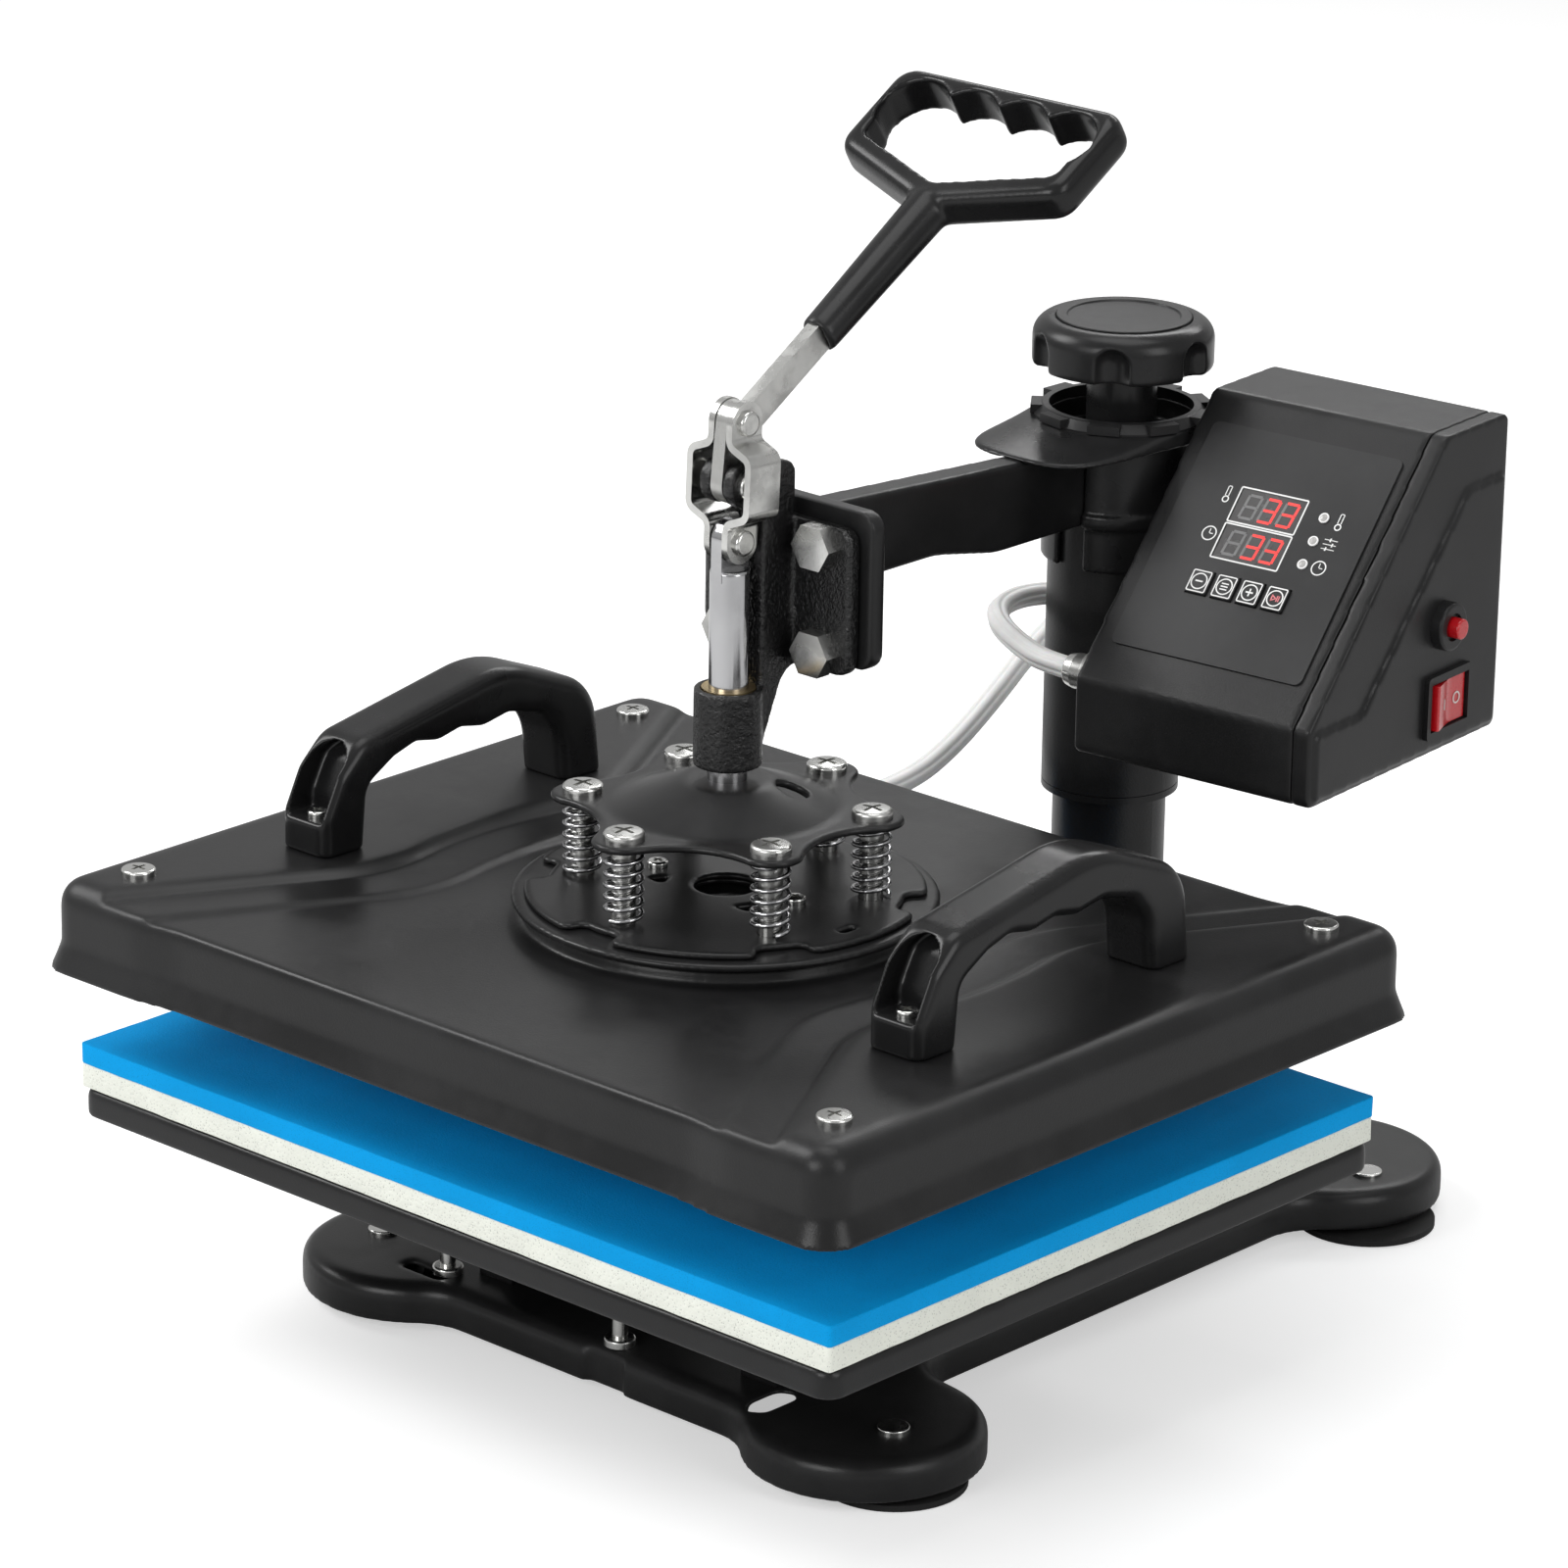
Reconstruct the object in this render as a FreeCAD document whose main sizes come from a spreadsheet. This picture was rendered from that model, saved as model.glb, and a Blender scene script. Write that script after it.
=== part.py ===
import FreeCAD, Part
import math
import os
import re
from FreeCAD import Placement, Rotation, Vector

# Swing-away combo heat press, in millimetres. +Z is up, +X is the operator's right and the operator
# stands at -Y. The origin is on the bench, at the middle of the whole press's footprint.

doc = FreeCAD.newDocument("HeatPress")
sheet = doc.addObject("Spreadsheet::Sheet", "Sizes")
aliases = []
nodes = []


def size(alias, value):
    """One driving dimension: a cell of the sheet with its alias, and the same number for the script."""
    aliases.append(alias)
    row = len(aliases)
    sheet.set("A%d" % row, alias)
    sheet.set("B%d" % row, repr(float(value)))
    sheet.setAlias("B%d" % row, alias)
    return float(value)


# Bench, feet and base frame
foot_radius = size("foot_radius", 27.5)
foot_neck_radius = size("foot_neck_radius", 9)
foot_ring = size("foot_ring", 9)
foot_cup_height = size("foot_cup_height", 3)
foot_spread_front = size("foot_spread_front", 131)
foot_spread_rear = size("foot_spread_rear", 102)
foot_front_y = size("foot_front_y", -49)
foot_rear_y = size("foot_rear_y", 263)
skirt_gap = size("skirt_gap", 4)
base_height = size("base_height", 16)
base_wall = size("base_wall", 2.5)
base_half_width = size("base_half_width", 94.5)
base_front_y = size("base_front_y", -72)
base_rear_y = size("base_rear_y", 300)
lobe_radius = size("lobe_radius", 45)
lobe_front_x = size("lobe_front_x", 114)
lobe_front_y = size("lobe_front_y", -46)
lobe_rear_x = size("lobe_rear_x", 77)
lobe_rear_y = size("lobe_rear_y", 270)
base_edge_round = size("base_edge_round", 6)
base_corner_round = size("base_corner_round", 25)
lip_notch_half = size("lip_notch_half", 10)
lip_notch_depth = size("lip_notch_depth", 2)
support_half_width = size("support_half_width", 62)
support_length = size("support_length", 104)
support_foot = size("support_foot", 14)
support_wall = size("support_wall", 3)
pin_radius = size("pin_radius", 3)
pin_x = size("pin_x", 85)
pin_y = size("pin_y", 60)
pin_inner_x = size("pin_inner_x", 8)
pin_inner_y = size("pin_inner_y", 63)
screw_radius = size("screw_radius", 2.5)
eyelet_radius = size("eyelet_radius", 6)
eyelet_height = size("eyelet_height", 1.5)

# Tray and pads
pad_width = size("pad_width", 380)
pad_depth = size("pad_depth", 300)
tray_lift = size("tray_lift", 60)
tray_height = size("tray_height", 11.5)
tray_wall = size("tray_wall", 2)
tray_corner = size("tray_corner", 7)
tray_round = size("tray_round", 3)
foam_height = size("foam_height", 9.5)
silicone_height = size("silicone_height", 8)
pad_corner = size("pad_corner", 1.5)

# Post, sleeve and pressure screw
post_y = size("post_y", 220)
post_radius = size("post_radius", 22.2)
post_wall = size("post_wall", 3.2)
post_top = size("post_top", 291)
flange_width = size("flange_width", 92)
flange_thickness = size("flange_thickness", 8)
flange_bolt_spread = size("flange_bolt_spread", 34)
running_gap = size("running_gap", 0.06)
bush_wall = size("bush_wall", 2.1)
sleeve_radius = size("sleeve_radius", 26.8)
sleeve_bottom = size("sleeve_bottom", 171)
sleeve_top = size("sleeve_top", 306)
screw_thread_radius = size("screw_thread_radius", 8)
nut_height = size("nut_height", 30)
lead_below = size("lead_below", 45)
stem_radius = size("stem_radius", 13.6)
knob_bottom = size("knob_bottom", 338)
knob_height = size("knob_height", 19)
knob_radius = size("knob_radius", 35)
knob_flutes = size("knob_flutes", 6)
knob_flute_radius = size("knob_flute_radius", 7.35)
knob_flute_reach = size("knob_flute_reach", 37)
knob_flute_height = size("knob_flute_height", 15)
knob_round = size("knob_round", 7.5)
knob_cap_radius = size("knob_cap_radius", 26)
hood_radius = size("hood_radius", 29.5)
hood_bottom = size("hood_bottom", 262)
hood_wall = size("hood_wall", 2.5)
hood_bead = size("hood_bead", 1.5)
hood_bead_height = size("hood_bead_height", 5)
brim_edge = size("brim_edge", 314.2)
brim_thickness = size("brim_thickness", 1.6)
brim_top = size("brim_top", 318.5)
ring_outer = size("ring_outer", 33.8)
ring_inner = size("ring_inner", 27.9)
ring_height = size("ring_height", 4)
ring_tabs = size("ring_tabs", 9)
ring_tab_length = size("ring_tab_length", 12.5)
ring_tab_height = size("ring_tab_height", 3.4)

# Arm and toggle bracket
arm_thickness = size("arm_thickness", 12)
arm_top_front = size("arm_top_front", 320)
arm_top_rear = size("arm_top_rear", 309)
arm_bottom = size("arm_bottom", 286.5)
arm_bottom_rear = size("arm_bottom_rear", 280)
arm_step_front = size("arm_step_front", 112)
arm_step_rear = size("arm_step_rear", 78)
end_plate_y = size("end_plate_y", 31)
end_plate_thickness = size("end_plate_thickness", 7)
end_plate_width = size("end_plate_width", 84)
end_plate_height = size("end_plate_height", 60)
end_plate_middle = size("end_plate_middle", 292)
flange_plate_width = size("flange_plate_width", 72)
flange_plate_height = size("flange_plate_height", 56)
flange_plate_thickness = size("flange_plate_thickness", 6)
plate_bolt_x = size("plate_bolt_x", 22)
plate_bolt_z = size("plate_bolt_z", 20.3)
plate_bolt_radius = size("plate_bolt_radius", 5)
plate_bolt_flats = size("plate_bolt_flats", 16)
plate_bolt_head = size("plate_bolt_head", 6.5)
collar_radius = size("collar_radius", 12.8)
collar_bottom = size("collar_bottom", 229)
collar_top = size("collar_top", 259)
rod_bush_radius = size("rod_bush_radius", 10)
rib_thickness = size("rib_thickness", 16)
ear_thickness = size("ear_thickness", 5)
ear_gap = size("ear_gap", 3.2)
ear_radius = size("ear_radius", 8.5)
pivot_rise = size("pivot_rise", 45)
pivot_pin_radius = size("pivot_pin_radius", 4)
pivot_head_radius = size("pivot_head_radius", 5.4)
pivot_head_height = size("pivot_head_height", 2.4)

# Lever, links and plunger
crank_length = size("crank_length", 22.5)
crank_lean = size("crank_lean", 5)
link_length = size("link_length", 44.6)
lever_sweep = size("lever_sweep", 127)
lever_tilt = size("lever_tilt", 58)
bar_thickness = size("bar_thickness", 5.6)
bar_width = size("bar_width", 11.2)
bar_offset_y = size("bar_offset_y", 9.1)
bar_offset_z = size("bar_offset_z", 22.7)
grip_start = size("grip_start", 42.7)
tang_length = size("tang_length", 26)
grip_vertex = size("grip_vertex", 109)
grip_side_start = size("grip_side_start", 128)
grip_end = size("grip_end", 173)
grip_half_width = size("grip_half_width", 54.5)
grip_thickness = size("grip_thickness", 16)
grip_wall = size("grip_wall", 7.5)
grip_top_wall = size("grip_top_wall", 11)
grip_corner = size("grip_corner", 9)
finger_pitch = size("finger_pitch", 24)
finger_radius = size("finger_radius", 14.5)
finger_depth = size("finger_depth", 5.5)
shank_radius_low = size("shank_radius_low", 7.5)
shank_radius_high = size("shank_radius_high", 8.8)
link_plate = size("link_plate", 2.8)
link_width = size("link_width", 16)
link_bow_inner = size("link_bow_inner", 12.9)
link_bow_half = size("link_bow_half", 9.8)
link_bow_slope = size("link_bow_slope", 4)
link_gap = size("link_gap", 0.25)
rivet_radius = size("rivet_radius", 3.5)
rivet_head_radius = size("rivet_head_radius", 4.8)
rivet_head_height = size("rivet_head_height", 2.2)
rod_radius = size("rod_radius", 7.4)
rod_tongue_drop = size("rod_tongue_drop", 10.6)
rod_stub_radius = size("rod_stub_radius", 5)
rod_nut_flats = size("rod_nut_flats", 17)
rod_nut_height = size("rod_nut_height", 7)

# Spider, springs and platen
touch_gap = size("touch_gap", 0.3)
plate_thickness = size("plate_thickness", 12)
plate_corner = size("plate_corner", 8)
wool_thickness = size("wool_thickness", 12)
cover_lip_rise = size("cover_lip_rise", 1.5)
cover_spare_side = size("cover_spare_side", 10)
cover_spare_front = size("cover_spare_front", 13)
cover_flare = size("cover_flare", 4)
cover_flare_height = size("cover_flare_height", 10)
cover_corner = size("cover_corner", 16)
cover_height = size("cover_height", 34.6)
cover_wall = size("cover_wall", 2)
cover_round = size("cover_round", 10)
cover_drop = size("cover_drop", 5.1)
rib_drop = size("rib_drop", 1.7)
groove_depth = size("groove_depth", 1.9)
zone_front_inset = size("zone_front_inset", 18.5)
zone_waist_inset = size("zone_waist_inset", 79)
zone_bulge_inset = size("zone_bulge_inset", 67)
zone_waist_y = size("zone_waist_y", 60)
zone_waist_round = size("zone_waist_round", 60)
zone_bulge_round = size("zone_bulge_round", 190)
groove_band = size("groove_band", 13)
rib_band = size("rib_band", 17.5)
ramp = size("ramp", 4)
pillar_radius = size("pillar_radius", 6)
cover_recess = size("cover_recess", 3)
recess_end_inset = size("recess_end_inset", 51)
recess_run = size("recess_run", 20)
boss_radius = size("boss_radius", 75)
boss_rise = size("boss_rise", 6.3)
ring_plate_radius = size("ring_plate_radius", 79.3)
ring_plate_bore = size("ring_plate_bore", 14)
ring_plate_height = size("ring_plate_height", 3)
disc_radius = size("disc_radius", 74.5)
disc_notch_radius = size("disc_notch_radius", 66.5)
disc_notch_angle = size("disc_notch_angle", 16)
disc_height = size("disc_height", 2.5)
disc_bore = size("disc_bore", 11.6)
spring_circle = size("spring_circle", 54.5)
spring_bolt_radius = size("spring_bolt_radius", 4.6)
spring_head_radius = size("spring_head_radius", 7.6)
spring_head_height = size("spring_head_height", 3)
spring_coil_radius = size("spring_coil_radius", 6.7)
spring_wire = size("spring_wire", 1.8)
spring_turns = size("spring_turns", 6)
spider_rise = size("spider_rise", 28.5)
spider_thickness = size("spider_thickness", 3)
spider_lobe_radius = size("spider_lobe_radius", 12)
spider_waist = size("spider_waist", 50)
spider_dome_radius = size("spider_dome_radius", 43)
spider_dome_rise = size("spider_dome_rise", 10)
spider_hole_radius = size("spider_hole_radius", 6)
spider_hole_x = size("spider_hole_x", 19.5)
spider_hole_y = size("spider_hole_y", 14)
spider_crown_radius = size("spider_crown_radius", 17)
spider_dome_round = size("spider_dome_round", 12)
corner_screw_side = size("corner_screw_side", 15.4)
corner_screw_front = size("corner_screw_front", 17.4)
corner_screw_radius = size("corner_screw_radius", 6.5)
handle_inset = size("handle_inset", 52)
handle_width = size("handle_width", 25)
handle_half_length = size("handle_half_length", 74)
handle_leg = size("handle_leg", 22)
handle_rise = size("handle_rise", 53)
handle_peak_y = size("handle_peak_y", 24)
handle_front_rise = size("handle_front_rise", 43)
handle_rear_rise = size("handle_rear_rise", 36)
handle_grip_depth = size("handle_grip_depth", 18)
handle_scoop_width = size("handle_scoop_width", 19)
handle_scoop_floor = size("handle_scoop_floor", 13)
handle_scoop_rise = size("handle_scoop_rise", 27)
handle_scoop_depth = size("handle_scoop_depth", 14)
handle_wave = size("handle_wave", 2.4)
grommet_x = size("grommet_x", -75)
grommet_z = size("grommet_z", 158)
grommet_radius = size("grommet_radius", 7)
grommet_length = size("grommet_length", 10)

# Control box
box_x = size("box_x", 44)
box_y = size("box_y", 144.7)
box_bottom = size("box_bottom", 209)
box_yaw = size("box_yaw", 5.5)
box_width = size("box_width", 106.5)
box_depth = size("box_depth", 131.4)
box_front_height = size("box_front_height", 30.3)
box_height = size("box_height", 124.3)
box_slope_depth = size("box_slope_depth", 87.5)
box_wall = size("box_wall", 2.2)
box_round = size("box_round", 4)
side_panel_thickness = size("side_panel_thickness", 9)
panel_film_width = size("panel_film_width", 85)
panel_film_length = size("panel_film_length", 98)
panel_film_left = size("panel_film_left", 7.5)
panel_film_low = size("panel_film_low", 17)
film_thickness = size("film_thickness", 0.8)
display_width = size("display_width", 28.8)
display_length = size("display_length", 14.3)
display_left = size("display_left", 32.5)
display_low_a = size("display_low_a", 60.1)
display_low_b = size("display_low_b", 75.9)
lamp_x = size("lamp_x", 71.2)
lamp_low = size("lamp_low", 64.8)
lamp_pitch = size("lamp_pitch", 10.1)
lamp_radius = size("lamp_radius", 1.9)
key_first = size("key_first", 33.2)
key_pitch = size("key_pitch", 11.3)
key_low = size("key_low", 48.5)
key_size = size("key_size", 9.2)
key_height = size("key_height", 1.2)
key_travel = size("key_travel", 0.4)
rocker_y = size("rocker_y", 92)
rocker_z = size("rocker_z", 20)
rocker_length = size("rocker_length", 31)
rocker_height = size("rocker_height", 25)
rocker_tilt = size("rocker_tilt", 8)
button_y = size("button_y", 88)
button_z = size("button_z", 51)
button_radius = size("button_radius", 4)
button_travel = size("button_travel", 3)
breaker_nut_radius = size("breaker_nut_radius", 9.4)
gland_y = size("gland_y", 15)
gland_z = size("gland_z", 27)
gland_radius = size("gland_radius", 8)
cable_radius = size("cable_radius", 4.5)

# Heights and places that follow from the sizes above
plate_width, plate_depth = pad_width, pad_depth
cover_width = plate_width + 2 * cover_spare_side
cover_depth = plate_depth + 2 * cover_spare_front
handle_x = cover_width / 2 - handle_inset
corner_screw_x = plate_width / 2 - corner_screw_side
corner_screw_y = plate_depth / 2 - corner_screw_front
base_top = skirt_gap + base_height
tray_bottom = base_top + tray_lift
tray_top = tray_bottom + tray_height
foam_top = tray_top + foam_height
pad_top = foam_top + silicone_height
pivot_height = end_plate_middle + pivot_rise
lean = math.radians(crank_lean)
pin_top_y = crank_length * math.sin(lean)
pin_top_z = pivot_height + crank_length * math.cos(lean)
pin_low_z = pin_top_z - math.sqrt(link_length ** 2 - pin_top_y ** 2)
closed = math.radians(lever_sweep - crank_lean)
pin_low_closed = (pivot_height + crank_length * math.cos(closed)
                  - math.sqrt(link_length ** 2 - (crank_length * math.sin(closed)) ** 2))
stroke = pin_low_z - pin_low_closed
link_rest = math.asin(pin_top_y / link_length)
link_closed = math.asin(crank_length * math.sin(closed) / link_length)
link_turn = math.degrees(link_rest + link_closed) - lever_sweep
plate_bottom = pad_top + touch_gap + stroke
plate_top = plate_bottom + plate_thickness
cover_lip = plate_bottom + cover_lip_rise
cover_top = cover_lip + cover_height
cover_low_top = cover_top - cover_drop
boss_top = cover_low_top + boss_rise
disc_bottom = boss_top + ring_plate_height
disc_top = disc_bottom + disc_height
spider_bottom = disc_top + spider_rise
spider_top = spider_bottom + spider_thickness
rod_top = pin_low_z - rod_tongue_drop
bush_inner = post_radius + running_gap
bush_outer = bush_inner + bush_wall
sleeve_bore = bush_outer + running_gap
screw_bore = screw_thread_radius + running_gap
rod_bore = rod_radius + running_gap
footprint_front = -cover_depth / 2
footprint_rear = lobe_rear_y + lobe_radius
platen_y = -(footprint_front + footprint_rear) / 2
post_line = platen_y + post_y

print("stroke %.3f  link turn %.3f deg  plate bottom %.3f  pad top %.3f" % (stroke, link_turn, plate_bottom, pad_top))
print("pivot z %.3f  top pin y %.3f z %.3f  low pin z %.3f  platen y %.3f" %
      (pivot_height, platen_y + pin_top_y, pin_top_z, pin_low_z, platen_y))


def bound(text):
    """An expression over the sheet's aliases, such as pad_width - 2 * tray_wall."""
    return re.sub(r"[a-z]\w*", lambda word: "Sizes." + word.group(0) if word.group(0) in aliases else word.group(0), text)


def tie(item, prop, value):
    """Set a property from a number, or bind it to the sheet when it is an expression."""
    if isinstance(value, str):
        item.setExpression(prop, bound(value))
    else:
        setattr(item, prop, value)


def seat(item, x, y, z, rotation=Rotation()):
    """Place an object at a point given from the platen's axis and the bench."""
    item.Placement = Placement(Vector(x, platen_y + y, z), rotation)
    return item


def keep(item, label):
    """Make an object one of the press's named pieces."""
    item.Label = label
    nodes.append(item)
    return item


UPRIGHT = Rotation()
ALONG_X = Rotation(Vector(0, 1, 0), 90)
ALONG_Y = Rotation(Vector(1, 0, 0), -90)
# Sketch X along world Y and sketch Y along world Z: outlines of pieces seen from the press's side
SIDE_VIEW = Rotation(Vector(0, 1, 0), Vector(0, 0, 1), Vector(1, 0, 0), "ZXY")
# Sketch X along world X and sketch Y along world Z: outlines of pieces seen from the front
FRONT_VIEW = Rotation(Vector(1, 0, 0), 90)


def cylinder(radius, height, x, y, z, turn=UPRIGHT):
    item = doc.addObject("Part::Cylinder", "Round")
    tie(item, "Radius", radius)
    tie(item, "Height", height)
    return seat(item, x, y, z, turn)


def fuse(*items):
    item = doc.addObject("Part::MultiFuse", "Joined")
    item.Shapes = list(items)
    item.Refine = True
    return item


def cut(base, *tools):
    item = doc.addObject("Part::Cut", "CutOut")
    item.Base = base
    item.Tool = tools[0] if len(tools) == 1 else fuse(*tools)
    item.Refine = True
    return item


def feature(shape):
    item = doc.addObject("Part::Feature", "Form")
    item.Shape = shape
    return item


def polar(radius, angle):
    """A point in the XY plane at a radius and at an angle in radians."""
    return Vector(radius * math.cos(angle), radius * math.sin(angle), 0)


def arc_about(centre, start, end):
    """The shorter arc round a centre from start to end."""
    middle = (start - centre) + (end - centre)
    return Part.Arc(start, centre + middle.normalize() * (start - centre).Length, end)


def rounded_outline(corners):
    """Lines and arcs round a closed outline whose corners are (x, y, radius)."""
    count = len(corners)
    ends = []
    arcs = []
    for i, (x, y, radius) in enumerate(corners):
        here = Vector(x, y, 0)
        before = Vector(corners[i - 1][0], corners[i - 1][1], 0) - here
        after = Vector(corners[(i + 1) % count][0], corners[(i + 1) % count][1], 0) - here
        if radius == 0:
            ends.append((here, here))
            arcs.append(None)
            continue
        before.normalize()
        after.normalize()
        half = before.getAngle(after) / 2
        back = radius / math.tan(half)
        middle = (before + after).normalize()
        start, end = here + before * back, here + after * back
        crown = here + middle * (radius / math.sin(half) - radius)
        ends.append((start, end))
        arcs.append(Part.Arc(start, crown, end))
    edges = []
    for i in range(count):
        if arcs[i]:
            edges.append(arcs[i])
        start, end = ends[i][1], ends[(i + 1) % count][0]
        if (start - end).Length > 1e-6:
            edges.append(Part.LineSegment(start, end))
    return edges


def box_outline(width, depth, radius):
    a, b = width / 2, depth / 2
    return rounded_outline([(-a, -b, radius), (a, -b, radius), (a, b, radius), (-a, b, radius)])


def circle_outline(x, y, radius):
    return [Part.Circle(Vector(x, y, 0), Vector(0, 0, 1), radius)]


def plane_of(body, role):
    return next(plane for plane in body.Origin.OriginFeatures if plane.Role == role)


def sketch_on(body, outlines, height=0.0, role="XY_Plane"):
    """Draw outlines at a height over a plane of the body, or on a leaning plane given by a placement."""
    drawing = body.newObject("Sketcher::SketchObject", "Outline")
    drawing.AttachmentSupport = [(plane_of(body, role), "")]
    drawing.MapMode = "FlatFace"
    leaning = isinstance(height, Placement)
    drawing.AttachmentOffset = height if leaning else Placement(Vector(0, 0, height), Rotation())
    for outline in outlines:
        drawing.addGeometry(list(outline), False)
    return drawing


def new_body(label):
    body = doc.addObject("PartDesign::Body", label)
    return keep(body, label)


def pad(body, outlines, length, height=0.0, taper=0.0):
    """Raise outlines drawn at a height by a length bound to the sheet, leaning in by a negative taper."""
    item = body.newObject("PartDesign::Pad", "Pad")
    item.Profile = sketch_on(body, outlines, height)
    tie(item, "Length", length)
    item.TaperAngle = taper
    doc.recompute()
    return item


def pocket(body, outlines, depth, height, taper=0.0):
    """Cut outlines drawn at a height downwards, leaning in by a negative taper."""
    item = body.newObject("PartDesign::Pocket", "Pocket")
    item.Profile = sketch_on(body, outlines, height)
    tie(item, "Length", depth)
    item.TaperAngle = taper
    doc.recompute()
    return item


def round_body(body, base, radius, wanted):
    names = ["Edge%d" % (i + 1) for i, edge in enumerate(base.Shape.Edges) if wanted(edge)]
    item = body.newObject("PartDesign::Fillet", "Fillet")
    item.Base = (base, names)
    tie(item, "Radius", radius)
    doc.recompute()
    return item


def spun_body(label, corners):
    """A piece turned about its own Z: corners are (radius, height, rounding)."""
    body = new_body(label)
    drawing = sketch_on(body, [rounded_outline(corners)], 0.0, "XZ_Plane")
    item = body.newObject("PartDesign::Revolution", "Revolution")
    item.Profile = drawing
    item.ReferenceAxis = (drawing, ["V_Axis"])
    item.Angle = 360
    doc.recompute()
    return body


def spun_shape(corners):
    """The same as spun_body, as a bare shape for pieces that come in sets."""
    edges = [part.toShape() for part in rounded_outline(corners)]
    face = Part.Face(Part.Wire(Part.__sortEdges__(edges)))
    face.rotate(Vector(), Vector(1, 0, 0), 90)
    return face.revolve(Vector(), Vector(0, 0, 1), 360)


def slab_shape(outlines, thickness):
    """A flat plate with holes as a bare shape: the first outline is the outside."""
    wires = [Part.Wire(Part.__sortEdges__([part.toShape() for part in outline])) for outline in outlines]
    face = Part.Face(wires[0])
    for wire in wires[1:]:
        face = face.cut(Part.Face(wire))
    return face.extrude(Vector(0, 0, thickness))


def flat_at(edge, height, tolerance=0.01):
    box = edge.BoundBox
    return abs(box.ZMin - height) < tolerance and abs(box.ZMax - height) < tolerance


def standing(edge):
    box = edge.BoundBox
    return box.ZLength > 1 and box.XLength < 0.01 and box.YLength < 0.01


def hex_outline(flats):
    reach = flats / 2 / math.cos(math.radians(30))
    return rounded_outline([(reach * math.cos(math.radians(60 * i)), reach * math.sin(math.radians(60 * i)), 0)
                            for i in range(6)])


def moved(shape, x, y, z, rotation=UPRIGHT):
    """A copy of a bare shape, turned and then shifted."""
    copy = shape.copy()
    copy.Placement = Placement(Vector(x, y, z), rotation).multiply(shape.Placement)
    return copy


def hull_outline(first, first_radius, second, second_radius):
    """The outline that a belt makes round two circles."""
    a, b = Vector(first[0], first[1], 0), Vector(second[0], second[1], 0)
    along = b - a
    heading = math.atan2(along.y, along.x)
    spread = math.acos((first_radius - second_radius) / along.Length)

    def at(centre, radius, angle):
        return centre + polar(radius, angle)

    left_a, right_a = at(a, first_radius, heading + spread), at(a, first_radius, heading - spread)
    left_b, right_b = at(b, second_radius, heading + spread), at(b, second_radius, heading - spread)
    return [Part.Arc(left_a, at(a, first_radius, heading + math.pi), right_a),
            Part.LineSegment(right_a, right_b),
            Part.Arc(right_b, at(b, second_radius, heading), left_b),
            Part.LineSegment(left_b, left_a)]


def side_pad(body, outlines, thickness, x=None):
    """A pad drawn in the side view: centred on the body's own YZ plane, or running right from x."""
    item = body.newObject("PartDesign::Pad", "Pad")
    item.Profile = sketch_on(body, outlines, x or 0.0, "YZ_Plane")
    tie(item, "Length", thickness)
    item.Midplane = x is None
    doc.recompute()
    return item


def side_cut(body, outlines, depth, x, rightwards=False):
    """A pocket drawn in the side view that cuts left from x, or right."""
    item = body.newObject("PartDesign::Pocket", "Pocket")
    item.Profile = sketch_on(body, outlines, x, "YZ_Plane")
    tie(item, "Length", depth)
    item.Reversed = rightwards
    doc.recompute()
    return item


def side_pocket(body, outlines):
    """A pocket drawn in the side view that runs right through."""
    item = body.newObject("PartDesign::Pocket", "Pocket")
    item.Profile = sketch_on(body, outlines, 0.0, "YZ_Plane")
    item.Type = 1
    item.Midplane = True
    doc.recompute()
    return item


def front_pad(body, outlines, thickness, y):
    """A pad drawn in the front view that runs back from y."""
    item = body.newObject("PartDesign::Pad", "Pad")
    item.Profile = sketch_on(body, outlines, -y, "XZ_Plane")
    tie(item, "Length", thickness)
    item.Reversed = True
    doc.recompute()
    return item


def front_pocket(body, outlines, depth, y):
    """A pocket drawn in the front view that cuts back from y."""
    item = body.newObject("PartDesign::Pocket", "Pocket")
    item.Profile = sketch_on(body, outlines, -y, "XZ_Plane")
    tie(item, "Length", depth)
    doc.recompute()
    return item


def square_outline(x, y, width, depth):
    return rounded_outline([(x - width / 2, y - depth / 2, 0), (x + width / 2, y - depth / 2, 0),
                            (x + width / 2, y + depth / 2, 0), (x - width / 2, y + depth / 2, 0)])


def circles_outline(places, radius):
    return [circle_outline(x, y, radius)[0] for x, y in places]


# Base frame, feet and post
lobes = [(side * lobe_front_x, lobe_front_y) for side in (-1, 1)]
lobes += [(side * lobe_rear_x, lobe_rear_y) for side in (-1, 1)]
feet = [(side * foot_spread_front, foot_front_y) for side in (-1, 1)]
feet += [(side * foot_spread_rear, foot_rear_y) for side in (-1, 1)]
flange_bolts_at = [(i * flange_bolt_spread, post_y + j * flange_bolt_spread) for i in (-1, 1) for j in (-1, 1)]
pins_at = [(-pin_x, -pin_y), (pin_inner_x, -pin_inner_y), (pin_x, pin_y), (-pin_inner_x, pin_inner_y)]
bolt_shank = 1.6 * screw_radius

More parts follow.
